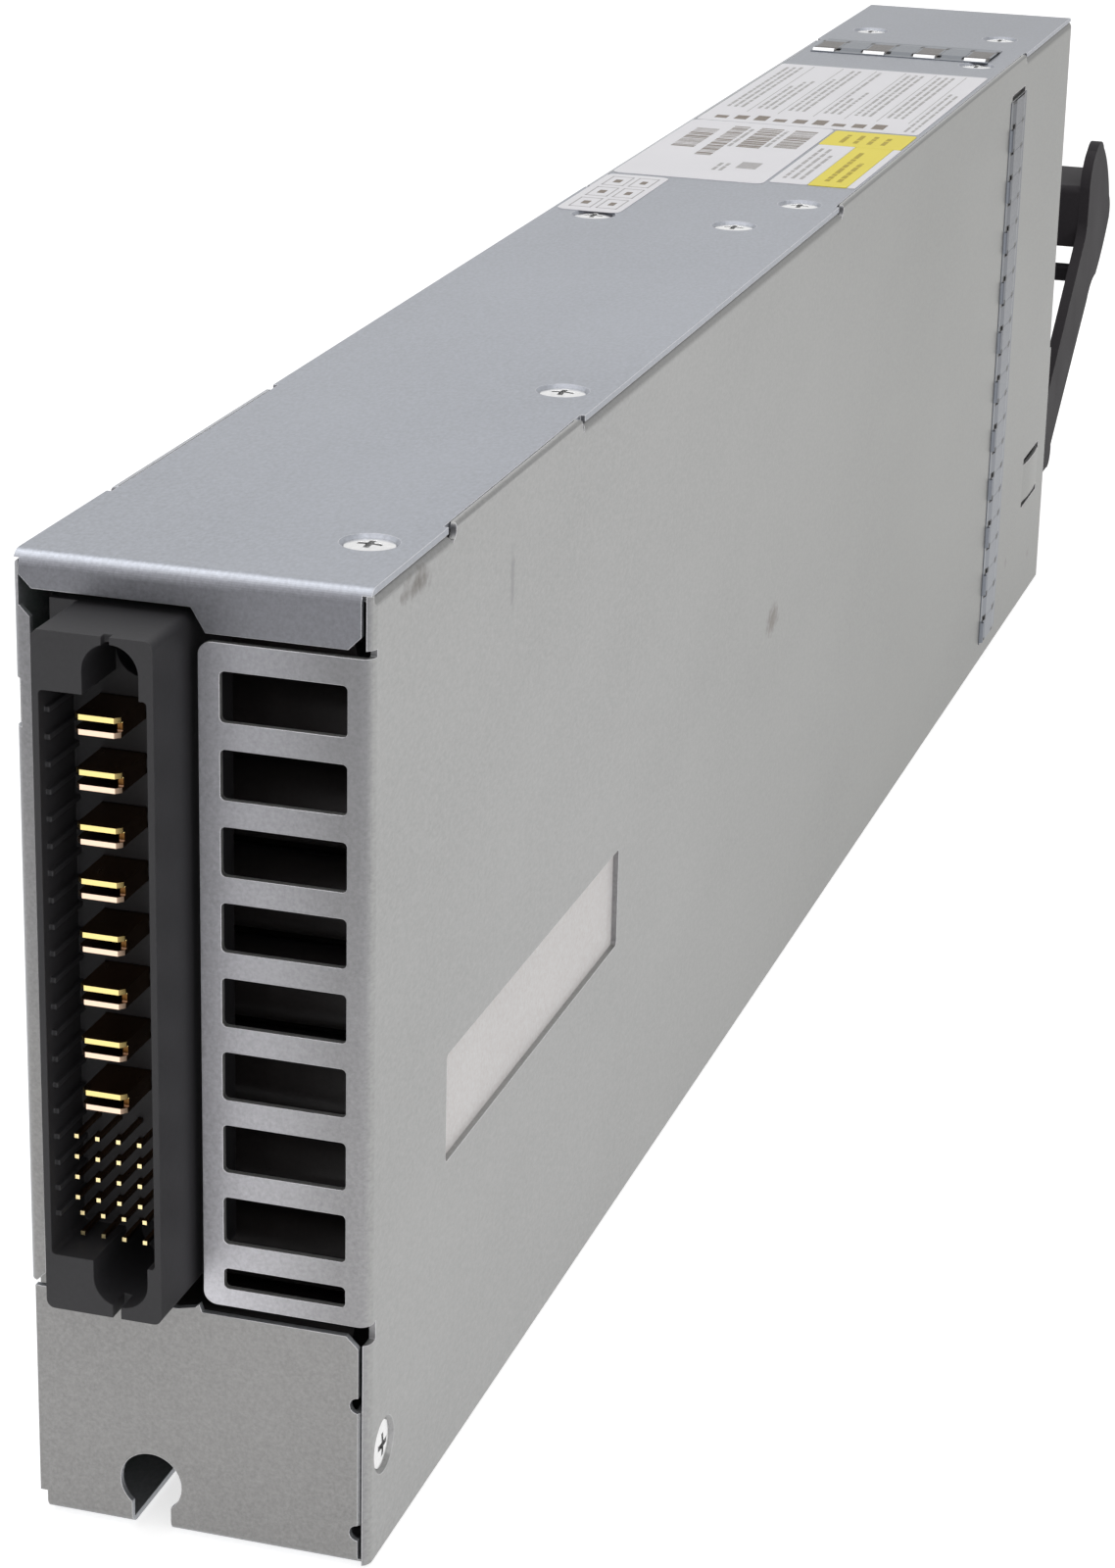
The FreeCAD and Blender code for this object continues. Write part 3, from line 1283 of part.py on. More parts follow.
def fan_blade():
    """One fan blade, lofted from a steep root section to a flatter tip section."""
    sections = []
    for r, chord, pitch in ((fan_hub_r - fan_tip_gap, fan_root_chord, fan_root_pitch),
                            (fan_tip_r + fan_tip_gap, fan_tip_chord, fan_tip_pitch)):
        c, s = math.cos(math.radians(pitch)), math.sin(math.radians(pitch))
        bulge = chord * fan_camber
        back = bulge + fan_blade_thick
        profile = [(-chord / 2, 0), (-chord / 5, bulge), (chord / 5, bulge), (chord / 2, 0),
                   (chord / 5, back), (-chord / 5, back)]
        points = [V(u * c - v * s, u * s + v * c, r) for u, v in profile]
        sections.append(Part.makePolygon(points + points[:1]))
    return Part.makeLoft(sections, True, True)


def fan_rotor(name, z):
    """Cup-shaped hub on its shaft, with the blades round it."""
    y1 = panel_in - fan_rotor_setback
    y0 = y1 - fan_hub_length
    hub = rod(0, y0, 0, (0, 1, 0), fan_hub_r, fan_hub_length)
    hub = hub.makeChamfer(fan_hub_chamfer, edges_centred(hub, "y", y1))
    hollow = fan_hub_length - fan_hub_cap + past
    hub = hub.cut(rod(0, y0 - past, 0, (0, 1, 0), fan_hub_r - fan_hub_wall, hollow))
    shaft = rod(0, y0 - fan_shaft_past, 0, (0, 1, 0), fan_shaft_r, fan_hub_length)
    # room that the blades may fill: a ring between the hub's wall and the tips
    room = ring_core(0, y0, 0, fan_tip_r, fan_hub_r - fan_hub_wall / 2, fan_hub_length - fan_hub_chamfer)
    vanes = []
    for i in range(fan_blades):
        vane = fan_blade().translated(V(0, (y0 + y1) / 2, 0))
        vane.rotate(V(0, 0, 0), V(0, 1, 0), 360.0 * i / fan_blades)
        vanes.append(vane.common(room))
    keep(name, fuse([hub, shaft] + vanes).translated(V(0, 0, z)))


def fan_screws():
    screws = []
    for z in fan_centres().values():
        for x, height in fan_screw_places(z):
            head = rod(x, panel_out, height, (0, 1, 0), fan_screw_head_r, fan_screw_head)
            head = head.makeChamfer(fan_screw_chamfer, edges_centred(head, "y", panel_out + fan_screw_head))
            shank = rod(x, panel_out - fan_screw_length, height, (0, 1, 0), fan_screw_r, fan_screw_length)
            screws.append(fuse([head, shank]))
    keep("fan_screws", screws)


# ---------------------------------------------------------------- release lever
def lever_outline(x0, depth):
    """Side profile of an arm, from the eye round the heel, up the front, over the tip and down the back."""
    def arc(*points):
        return Part.Arc(*[V(x0, y_end + y, z) for y, z in points]).toShape()

    def line(*points):
        return Part.makeLine(*[V(x0, y_end + y, z) for y, z in points])

    eye_y = -lever_pivot_back
    eye_low = (eye_y, lever_pivot_z - lever_eye_r)
    eye_high = (eye_y, lever_pivot_z + lever_eye_r)
    edges = [arc(eye_high, (eye_y - lever_eye_r, lever_pivot_z), eye_low), line(eye_low, heel[0]), arc(*heel),
             line(heel[2], nose[0]), arc(*nose[0:3]), arc(*nose[2:5]), arc(*nose[4:7]),
             arc(nose[6], tip[0], tip[1]), arc(*tip[1:4]), arc(*tip[3:6]),
             line(tip[5], throat[0]), arc(*throat), line(throat[2], shoulder[0]), arc(*shoulder, eye_high)]
    return Part.Face(Part.Wire(Part.__sortEdges__(edges))).extrude(V(depth, 0, 0))


def release_lever():
    """Bail lever: two arms, a hollow grip across them and a lower tie rib."""
    x = lever_in_x
    eye = rod(x - past, pivot_y, lever_pivot_z, (1, 0, 0), lever_pin_r + lever_run, lever_arm + 2 * past)
    arm = lever_outline(x, lever_arm).cut(eye)
    grip_back = tip[5][0]
    band = box(-x, x, y_end + grip_back, y_end + grip_reach, grip_low, grip_high)
    grip = lever_outline(-x, 2 * x).common(band)
    grip = grip.makeFillet(grip_round, edges_along(grip, "x", z=grip_high))
    back, top = grip_back + grip_wall, grip_high - grip_wall
    outline = [(back, grip_low - past), (back, top), (grip_pocket[0][0], top), grip_pocket[1],
               (grip_pocket[2][0], grip_low - past)]
    bay = (2 * x - grip_wall) / grip_bays
    pockets = [plate_yz([(y_end + y, z) for y, z in outline], middle - (bay - grip_wall) / 2, bay - grip_wall)
               for middle in spread(grip_bays, bay)]
    rib = rounded_box(-x, x, y_end + rib_back, y_end + rib_back + rib_depth, rib_low, rib_high, rib_round, "x")
    keep("release_lever", fuse([arm, mirrored(arm), cut(grip, pockets), rib]))


def lever_mount():
    """Bracket astride the inlet, with the two headed pins that the lever turns on."""
    x0, x1 = bracket_x, bracket_x + bracket
    a, b = from_end(bracket_back), from_end(bracket_front)
    ear = box(x0, x1, a, b, sheet, bracket_top)
    ear = ear.makeFillet(bracket_round, edges_along(ear, "x", z=bracket_top))
    ear = ear.cut(rod(x0 - past, pivot_y, lever_pivot_z, (1, 0, 0), lever_pin_r, bracket + 2 * past))
    foot = box(-x1, x1, a, b, sheet, sheet + bracket)
    under_inlet = box(-x0, x0, inlet_back - bracket_clear, y_end, sheet + bracket, inlet_z)
    keep("lever_bracket", fuse([ear, mirrored(ear), foot]).cut(under_inlet))
    head_x = lever_out_x + seam
    pin = fuse([rod(x0, pivot_y, lever_pivot_z, (1, 0, 0), lever_pin_r, head_x - x0),
                rod(head_x, pivot_y, lever_pivot_z, (1, 0, 0), lever_pin_head_r, lever_pin_head)])
    keep("lever_pins", [pin, mirrored(pin)])


# ---------------------------------------------------------------- build
side_cover()
chassis_tray()
top_cover()
cover_fixings()
insulators()
grounding_springs()
connector_housing()
connector_contacts()
main_board()
output_stage()
transformers()
primary_stage()
input_stage()
fan_panel()
inlet()
status_lights()
for place, height in fan_centres().items():
    fan_frame(place + "_fan_frame", height)
    fan_rotor(place + "_fan_rotor", height)
fan_screws()
release_lever()
lever_mount()

for name, shape in sorted(parts.items()):
    b = shape.BoundBox
    state = "ok" if shape.isValid() else "INVALID"
    print("%-24s %s solids %d  x %.1f..%.1f  y %.1f..%.1f  z %.1f..%.1f" % (
        name, state, len(shape.Solids), b.XMin, b.XMax, b.YMin, b.YMax, b.ZMin, b.ZMax))
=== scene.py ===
import math
import random

import bmesh
import bpy
from mathutils import Matrix, Vector

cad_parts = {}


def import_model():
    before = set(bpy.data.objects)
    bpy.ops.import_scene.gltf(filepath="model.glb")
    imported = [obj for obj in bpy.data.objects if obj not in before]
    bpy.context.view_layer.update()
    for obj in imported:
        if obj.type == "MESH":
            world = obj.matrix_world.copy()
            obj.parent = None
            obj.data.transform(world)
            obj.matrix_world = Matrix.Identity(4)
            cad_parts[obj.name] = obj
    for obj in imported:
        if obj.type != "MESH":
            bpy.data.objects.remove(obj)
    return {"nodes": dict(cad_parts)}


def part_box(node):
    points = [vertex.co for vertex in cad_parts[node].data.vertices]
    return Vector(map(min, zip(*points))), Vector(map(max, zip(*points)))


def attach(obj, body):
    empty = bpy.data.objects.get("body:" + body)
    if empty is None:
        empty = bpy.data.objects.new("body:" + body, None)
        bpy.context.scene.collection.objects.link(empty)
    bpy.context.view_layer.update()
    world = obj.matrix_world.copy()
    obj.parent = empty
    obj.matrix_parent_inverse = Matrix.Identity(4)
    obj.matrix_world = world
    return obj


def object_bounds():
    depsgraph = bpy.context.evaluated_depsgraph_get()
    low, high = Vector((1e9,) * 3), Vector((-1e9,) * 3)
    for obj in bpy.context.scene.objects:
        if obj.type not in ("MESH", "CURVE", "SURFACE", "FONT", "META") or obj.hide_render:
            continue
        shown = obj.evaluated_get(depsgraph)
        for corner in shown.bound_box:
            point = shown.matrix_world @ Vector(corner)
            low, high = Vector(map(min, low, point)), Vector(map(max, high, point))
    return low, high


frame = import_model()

# Finishes, labels and studio of a hot-swap server power supply.
# Metres. X is the thickness, -Y the blind-mate connector end, +Y the handle end, +Z up.

MM = 0.001
cad_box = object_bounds()
case_low, case_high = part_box("chassis_tray")
half_width = -case_low.x
face_y = case_low.y                # connector end
end_y = case_high.y                # handle end
top_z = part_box("top_cover")[1].z
chance = random.Random(7)

white = (1.0, 1.0, 1.0)
ahead, across, lengthwise, upwards = (0, -1, 0), (1, 0, 0), (0, 1, 0), (0, 0, 1)
slant = 0.707                      # of a direction halfway between two of those


# ---------------------------------------------------------------- node helpers
def feed(tree, node, key, value):
    """Links a socket to an input, or sets the input to a plain value."""
    if isinstance(value, bpy.types.NodeSocket):
        tree.links.new(value, node.inputs[key])
    else:
        node.inputs[key].default_value = value


def add(tree, kind, **inputs):
    """Adds a node. Inputs are values or sockets by name, with _ in place of a space."""
    node = tree.nodes.new(kind)
    for name, value in inputs.items():
        feed(tree, node, name.replace("_", " "), value)
    return node


def maths(tree, operation, *values):
    node = tree.nodes.new("ShaderNodeMath")
    node.operation = operation
    for index, value in enumerate(values):
        feed(tree, node, index, value)
    return node.outputs[0]


def vector_maths(tree, operation, *values):
    """The result is a vector, or a number for a dot product or a length."""
    node = tree.nodes.new("ShaderNodeVectorMath")
    node.operation = operation
    for index, value in enumerate(values):
        feed(tree, node, index, value)
    return node.outputs["Value" if operation in ("DOT_PRODUCT", "LENGTH") else "Vector"]


def ramp(tree, value, start=0.0, end=1.0, low=0.0, high=1.0):
    """Runs from low, where value is start, to high, where value is end."""
    node = add(tree, "ShaderNodeMapRange", Value=value, From_Min=start, From_Max=end, To_Min=low, To_Max=high)
    return node.outputs[0]


def object_place(tree):
    return tree.nodes.new("ShaderNodeTexCoord").outputs["Object"]


def start_group(name, inputs, outputs):
    """An empty shader node group with its sockets. Returns the tree, its inputs and its output node."""
    tree = bpy.data.node_groups.new(name, "ShaderNodeTree")
    for label_text, kind, value in inputs:
        socket = tree.interface.new_socket(label_text, in_out="INPUT", socket_type="NodeSocket" + kind)
        socket.default_value = value
    for label_text, kind in outputs:
        tree.interface.new_socket(label_text, in_out="OUTPUT", socket_type="NodeSocket" + kind)
    source = tree.nodes.new("NodeGroupInput")
    target = tree.nodes.new("NodeGroupOutput")
    return tree, source.outputs, target


def place(tree, group, **inputs):
    """Puts a node group into a material, with its own settings."""
    node = tree.nodes.new("ShaderNodeGroup")
    node.node_tree = group
    for name, value in inputs.items():
        feed(tree, node, name.replace("_", " "), value)
    return node.outputs


def blended(tree, mask, first, second, mode="MIX"):
    mask_input, first_input, second_input, result = 0, 6, 7, 2       # the colour sockets of a Mix node
    node = tree.nodes.new("ShaderNodeMix")
    node.data_type = "RGBA"
    node.blend_type = mode
    feed(tree, node, mask_input, mask)
    feed(tree, node, first_input, first)
    feed(tree, node, second_input, second)
    return node.outputs[result]


def colour(r, g, b):
    """A colour as written on screen, from 0 to 1."""
    def linear(c):
        return c / 12.92 if c <= 0.04045 else ((c + 0.055) / 1.055) ** 2.4
    return (linear(r), linear(g), linear(b), 1.0)


def scaled(tone, factor, lift=0.0):
    """A tone made darker or lighter, up to white."""
    return colour(*[min(1.0, c * factor + lift) for c in tone])


# ---------------------------------------------------------------- shared effects
def make_grain():
    """Fine speckle and broad cloudiness of a plated or moulded surface."""
    tree, given, out = start_group(
        "surface_grain",
        [("Fine scale", "Float", 2500.0), ("Cloud scale", "Float", 40.0), ("Stretch", "Vector", (1, 1, 1))],
        [("Speckle", "Float"), ("Clouds", "Float")])
    stretched = vector_maths(tree, "MULTIPLY", object_place(tree), given["Stretch"])
    fine = add(tree, "ShaderNodeTexNoise", Vector=stretched, Scale=given["Fine scale"], Detail=3.0,
               Roughness=0.65)
    cloud = add(tree, "ShaderNodeTexNoise", Vector=stretched, Scale=given["Cloud scale"], Detail=4.0)
    feed(tree, out, "Speckle", fine.outputs["Fac"])
    feed(tree, out, "Clouds", cloud.outputs["Fac"])
    return tree


def make_soft_edges():
    """Rounded light on sharp edges, and a mask of the worn edge itself."""
    tree, given, out = start_group(
        "soft_edges", [("Radius", "Float", 0.3 * MM)], [("Normal", "Vector"), ("Edge", "Float")])
    bevel = tree.nodes.new("ShaderNodeBevel")
    bevel.samples = 4
    feed(tree, bevel, "Radius", given["Radius"])
    flat = tree.nodes.new("ShaderNodeNewGeometry").outputs["Normal"]
    facing = vector_maths(tree, "DOT_PRODUCT", bevel.outputs[0], flat)
    nearly_flat, well_turned = 0.995, 0.85
    feed(tree, out, "Normal", bevel.outputs[0])
    feed(tree, out, "Edge", ramp(tree, facing, nearly_flat, well_turned))
    return tree


def make_scuff():
    """A mark around one place: full in the middle, broken up and gone at its reach."""
    tree, given, out = start_group(
        "scuff_mark",
        [("Place", "Vector", (0, 0, 0)), ("Reach", "Vector", (0.01, 0.01, 0.01)),
         ("Breakup", "Float", 900.0)],
        [("Mark", "Float")])
    raggedness, gone, full = 1.6, 1.75, 1.1
    here = object_place(tree)
    away = vector_maths(tree, "SUBTRACT", here, given["Place"])
    share = vector_maths(tree, "DIVIDE", away, given["Reach"])
    distance = vector_maths(tree, "LENGTH", share)
    noise = add(tree, "ShaderNodeTexNoise", Vector=here, Scale=given["Breakup"], Detail=4.0).outputs["Fac"]
    ragged = maths(tree, "MULTIPLY_ADD", noise, raggedness, distance)
    feed(tree, out, "Mark", ramp(tree, ragged, gone, full))
    return tree


def make_facing():
    """How far the surface looks along one direction, from 0 to 1."""
    tree, given, out = start_group(
        "facing_mask", [("Direction", "Vector", upwards), ("Least", "Float", 0.5), ("Full", "Float", 0.9)],
        [("Facing", "Float")])
    flat = tree.nodes.new("ShaderNodeNewGeometry").outputs["True Normal"]
    share = vector_maths(tree, "DOT_PRODUCT", flat, given["Direction"])
    feed(tree, out, "Facing", ramp(tree, share, given["Least"], given["Full"]))
    return tree


def make_box_mask():
    """One inside a box and nothing outside it."""
    tree, given, out = start_group(
        "box_mask", [("Low", "Vector", (0, 0, 0)), ("High", "Vector", (1, 1, 1))], [("Inside", "Float")])
    here = object_place(tree)
    over = vector_maths(tree, "SUBTRACT", here, given["Low"])
    under = vector_maths(tree, "SUBTRACT", given["High"], here)
    depth = add(tree, "ShaderNodeSeparateXYZ", Vector=vector_maths(tree, "MINIMUM", over, under)).outputs
    least = maths(tree, "MINIMUM", maths(tree, "MINIMUM", depth["X"], depth["Y"]), depth["Z"])
    feed(tree, out, "Inside", maths(tree, "GREATER_THAN", least, 0.0))
    return tree


def make_face_shade(facing_mask):
    """Painted light and shade: a tone for the faces that look one way, running from a first to a last tone
    along a line.
    """
    tree, given, out = start_group(
        "face_shade",
        [("Direction", "Vector", upwards), ("Along", "Vector", upwards), ("Start", "Float", 0.0),
         ("End", "Float", 0.1), ("First", "Color", (1, 1, 1, 1)), ("Last", "Color", (1, 1, 1, 1)),
         ("Least", "Float", 0.5), ("Full", "Float", 0.9)],
        [("Tone", "Color"), ("Facing", "Float")])
    way = vector_maths(tree, "DOT_PRODUCT", object_place(tree), given["Along"])
    share = ramp(tree, way, given["Start"], given["End"])
    facing = place(tree, facing_mask, Direction=given["Direction"], Least=given["Least"], Full=given["Full"])
    feed(tree, out, "Tone", blended(tree, share, given["First"], given["Last"]))
    feed(tree, out, "Facing", facing["Facing"])
    return tree


def make_slit_ends():
    """Painted shade at the ends of a row of slits, dark marks in place of the shadowed holes there: the slits
    repeat along one direction and run along Y.

    Width is half of a mark's height, as a share of the distance from slit to slit.
    """
    tree, given, out = start_group(
        "slit_ends",
        [("Origin", "Vector", (0, 0, 0)), ("Repeat", "Vector", upwards), ("Near", "Float", 3 * MM),
         ("Far", "Float", 12 * MM), ("Width", "Float", 0.08)],
        [("Mark", "Float")])
    near_half_length, far_half_length = 1.3 * MM, 1.5 * MM
    away = vector_maths(tree, "SUBTRACT", object_place(tree), given["Origin"])
    turns = vector_maths(tree, "DOT_PRODUCT", away, given["Repeat"])
    part = maths(tree, "FRACT", maths(tree, "ADD", turns, 0.5))
    slit = maths(tree, "COMPARE", part, 0.5, given["Width"])
    run = add(tree, "ShaderNodeSeparateXYZ", Vector=away).outputs["Y"]
    near = maths(tree, "COMPARE", run, given["Near"], near_half_length)
    far = maths(tree, "COMPARE", run, given["Far"], far_half_length)
    feed(tree, out, "Mark", maths(tree, "MULTIPLY", slit, maths(tree, "MAXIMUM", near, far)))
    return tree


grain = make_grain()
soft_edges = make_soft_edges()
scuff_mark = make_scuff()
facing_mask = make_facing()
box_mask = make_box_mask()
slit_ends = make_slit_ends()
face_shade = make_face_shade(facing_mask)


# ---------------------------------------------------------------- kinds of finish
def new_finish(name):
    material = bpy.data.materials.new(name)
    material.use_nodes = True
    tree = material.node_tree
    return material, tree, tree.nodes["Principled BSDF"]


def surface(tree, bsdf, base, roughness, height, strength, depth, normal=None):
    """Feeds a finish's colour, roughness and bump to its shader. depth is the bump's, in millimetres."""
    feed(tree, bsdf, "Base Color", base)
    feed(tree, bsdf, "Roughness", roughness)
    bump = add(tree, "ShaderNodeBump", Height=height, Strength=strength, Distance=depth * MM)
    if normal:
        feed(tree, bump, "Normal", normal)
    feed(tree, bsdf, "Normal", bump.outputs[0])


def sheet_metal(name, tone, roughness=0.42, fine=2200.0, speckle=0.19, edge_tone=(0.93, 0.93, 0.94),
                metallic=0.7, shades=(), patches=(), slits=None, marks=()):
    """Satin plated steel: speckled, slightly cloudy and bright along its cut edges.

    shades are settings of face_shade, painted light and shade, and slits are settings of slit_ends, painted
    shade at the slit ends.
    patches are boxes with another tone inside: (low, high, tone); here they are painted shade under the
    grounding strips and painted highlight and shadow on the catches.
    marks are scuffs: (place, reach, breakup, tone).
    """
    material, tree, bsdf = new_finish(name)
    # painted shade of the dark holes at the slit ends
    slit_shade_tone = (0.13, 0.13, 0.14)
    noise = place(tree, grain, Fine_scale=fine, Cloud_scale=26.0, Stretch=(1.0, 0.55, 1.0))
    edges = place(tree, soft_edges, Radius=0.15 * MM)
    light = scaled(tone, 1 + speckle)
    base = blended(tree, noise["Speckle"], scaled(tone, 1 - speckle), light)
    base = blended(tree, ramp(tree, noise["Clouds"], 0.3, 0.7, 0.0, 0.22), base, light)
    # painted light and shade on the faces that look one way
    for settings in shades:
        shaded = place(tree, face_shade, **settings)
        base = blended(tree, shaded["Facing"], base, shaded["Tone"], mode="MULTIPLY")
    base = blended(tree, edges["Edge"], base, colour(*edge_tone))
    # painted shade and highlights in boxes
    for low, high, patch_tone in patches:
        inside = place(tree, box_mask, Low=low, High=high)["Inside"]
        base = blended(tree, inside, base, colour(*patch_tone))
    # painted shade at the ends of the slits
    if slits:
        base = blended(tree, place(tree, slit_ends, **slits)["Mark"], base, colour(*slit_shade_tone))
    for at, reach, breakup, mark_tone in marks:
        mark = place(tree, scuff_mark, Place=at, Reach=reach, Breakup=breakup)["Mark"]
        base = blended(tree, mark, base, colour(*mark_tone))
    rough = ramp(tree, noise["Speckle"], low=roughness - 0.08, high=roughness + 0.10)
    surface(tree, bsdf, base, rough, noise["Speckle"], 0.25, 0.02, edges["Normal"])
    bsdf.inputs["Metallic"].default_value = metallic
    return material


def bright_metal(name, tone, roughness=0.25):
    """Plated contact or turned metal."""
    edge_tone = [min(1.0, c * 1.2) for c in tone]
    return sheet_metal(name, tone, roughness, fine=1500.0, speckle=0.06, edge_tone=edge_tone, metallic=1.0)


def moulding(name, tone, roughness=0.55, fine=1800.0, edge_share=0.35, shine=0.5):
    """Moulded plastic or epoxy: faint texture, slightly paler along its edges."""
    material, tree, bsdf = new_finish(name)
    noise = place(tree, grain, Fine_scale=fine, Cloud_scale=60.0)
    edges = place(tree, soft_edges, Radius=0.3 * MM)
    worn = colour(*[c + (1 - c) * 0.16 for c in tone])
    base = blended(tree, noise["Speckle"], scaled(tone, 0.86), scaled(tone, 1.14, lift=0.01))
    base = blended(tree, maths(tree, "MULTIPLY", edges["Edge"], edge_share), base, worn)
    rough = ramp(tree, noise["Clouds"], low=roughness - 0.1, high=roughness + 0.1)
    surface(tree, bsdf, base, rough, noise["Speckle"], 0.4, 0.04, edges["Normal"])
    bsdf.inputs["Specular IOR Level"].default_value = shine
    return material


def contact_gold(name, tone, flat_tone, webs=None):
    """Gold-plated contact: a painted highlight on the faces that look ahead, at its tip, and painted shade on
    its flats.

    webs are the middle height of one contact, the pitch and the half height of the webs between
    two leaves, which take the painted shade of the flats, and the tone of the lower leaves.
    """
    material, tree, bsdf = new_finish(name)
    noise = place(tree, grain, Fine_scale=1400.0, Cloud_scale=160.0, Stretch=(1.0, 0.2, 1.0))
    # painted highlight on faces that look ahead, painted shade on the others
    tipped = place(tree, facing_mask, Direction=ahead)["Facing"]
    flats = blended(tree, noise["Clouds"], colour(*flat_tone), scaled(flat_tone, 1.5))
    tip = colour(*tone)
    if webs:
        middle, pitch, half, lower_tone = webs
        height = add(tree, "ShaderNodeSeparateXYZ", Vector=object_place(tree)).outputs["Z"]
        part = maths(tree, "FRACT", maths(tree, "MULTIPLY_ADD", height, 1 / pitch, 0.5 - middle / pitch))
        tip = blended(tree, maths(tree, "GREATER_THAN", part, 0.5), colour(*lower_tone), tip)
        tip = blended(tree, maths(tree, "COMPARE", part, 0.5, half / pitch), tip, flats)
    base = blended(tree, tipped, flats, tip)
    rough = ramp(tree, noise["Speckle"], low=0.22, high=0.38)
    surface(tree, bsdf, base, rough, noise["Speckle"], 0.15, 0.01)
    bsdf.inputs["Metallic"].default_value = 1.0
    return material


def paper(name, tone):
    """Coated label stock, a little uneven and faintly fibrous."""
    material, tree, bsdf = new_finish(name)
    noise = place(tree, grain, Fine_scale=3500.0, Cloud_scale=55.0)
    base = blended(tree, noise["Clouds"], scaled(tone, 0.955), colour(*tone))
    rough = ramp(tree, noise["Speckle"], low=0.42, high=0.58)
    surface(tree, bsdf, base, rough, noise["Speckle"], 0.2, 0.01)
    return material


# ---------------------------------------------------------------- settings of the sheet steel
def shade(direction, along, start, end, first, last=None, least=0.5, full=0.9):
    """Settings of face_shade, painted light and shade: the tone multiplies faces that look along direction.
    """
    return {"Direction": direction, "Along": along, "Start": start, "End": end, "First": colour(*first),
            "Last": colour(*(last or first)), "Least": least, "Full": full}


def bend_shade(direction, first, last=None):
    """Painted light and shade of a folded bend alone, and not of the flats beside it, from one side or end to
    the other.
    """
    runs_across = direction[0] == 0
    along, reach = (across, half_width) if runs_across else (lengthwise, end_y)
    return shade(direction, along, -reach, reach, first, last, least=0.80, full=0.93)


def scuff(along, up, length, height, breakup, tone):
    """A scuff on the right wall, by its distance from the connector end and its height, in millimetres."""
    at = (half_width, face_y + along * MM, up * MM)
    return at, (2 * MM, length * MM, height * MM), breakup, tone


def shade_under_strip(name, outward):
    """Painted shade under a grounding strip: a dark band on the sheet, as it shows through the strip's
    openings.
    """
    low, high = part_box(name)
    margin = 0.5 * MM
    inset = Vector([-margin if axis == outward else margin for axis in "xyz"])
    return low + inset, high - inset, (0.16, 0.16, 0.17)


fingers_across = 7
top_strip_low, top_strip_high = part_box("ground_spring_top")
finger = (top_strip_high.x - top_strip_low.x) / fingers_across      # the same on every strip


def strip_slits(name, repeat, width):
    """Where the slits of a grounding strip end; repeat is the direction from finger to finger."""
    low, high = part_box(name)
    near_end, far_end = 2.6 * MM, 4.0 * MM
    return {"Origin": low, "Repeat": Vector(repeat) / finger, "Near": near_end,
            "Far": high.y - low.y - far_end, "Width": width}


def catch_highlights_and_shadows():
    """Painted highlight on the raised catches along the top strip, and painted shadow on the finger behind
    every second one.
    """
    catch_reach, shadow_reach, slit_room = 1.55 * MM, 9 * MM, 0.4 * MM
    catch_highlight_tone, finger_shadow_tone = (0.97, 0.97, 0.98), (0.31, 0.29, 0.275)
    catch_y, above = top_strip_low.y + catch_reach, top_strip_high.z + MM
    patches = [(top_strip_low + Vector((-MM, -MM, 0.25 * MM)), (top_strip_high.x + MM, catch_y, above),
                catch_highlight_tone)]
    for i in range(0, fingers_across, 2):
        x = top_strip_low.x + i * finger
        patches.append(((x + slit_room, catch_y, top_strip_low.z - MM),
                        (x + finger - slit_room, catch_y + shadow_reach, above), finger_shadow_tone))
    return patches


# Painted light and shade by the way faces look: the faces toward the connector end and the vent panel darker
# towards the top, the vent panel lighter on its side beside the connector and a little darker at the far
# side, the top and the right wall darker towards the handle end, the strips darker towards the top, a painted
# highlight along the cover's front bend and painted shade along the wall's upper bend.
front_shade = shade(ahead, upwards, 0.45 * top_z, top_z, (0.84, 0.825, 0.80), (0.75, 0.74, 0.74))
vent_shade = shade(ahead, upwards, 0.4 * top_z, top_z, (1.0, 0.995, 1.01), (0.83, 0.83, 0.85))
vent_edge_shade = shade(ahead, across, 0.0, 0.8 * half_width, (1.26, 1.26, 1.28), (0.93, 0.93, 0.93))
cover_shade = shade(upwards, lengthwise, -0.3 * end_y, end_y, white, (0.91, 0.91, 0.91))
wall_shade = shade(across, lengthwise, -0.6 * end_y, 0.35 * end_y, white, (0.89, 0.89, 0.88))
strip_shade = shade(across, upwards, 0.1 * top_z, top_z, white, (0.62, 0.62, 0.63))
lip_highlight = bend_shade((0, -slant, slant), (1.22, 1.22, 1.22), (1.12, 1.12, 1.12))
rim_shade = bend_shade((slant, 0, slant), (0.85, 0.85, 0.85))
wall_scuffs = [
    scuff(14.1, 115.9, 5.4, 1.9, 500.0, (0.40, 0.38, 0.36)),
    scuff(49.4, 106.6, 1.2, 5.5, 900.0, (0.56, 0.56, 0.56)),
    scuff(183.5, 61.8, 4.6, 2.9, 800.0, (0.46, 0.44, 0.42)),
    scuff(398.2, 105.1, 1.8, 2.6, 900.0, (0.56, 0.56, 0.56)),
    scuff(388.0, 13.5, 1.2, 1.6, 900.0, (0.50, 0.49, 0.48)),
    scuff(413.9, 8.5, 1.2, 1.2, 900.0, (0.50, 0.49, 0.48)),
]

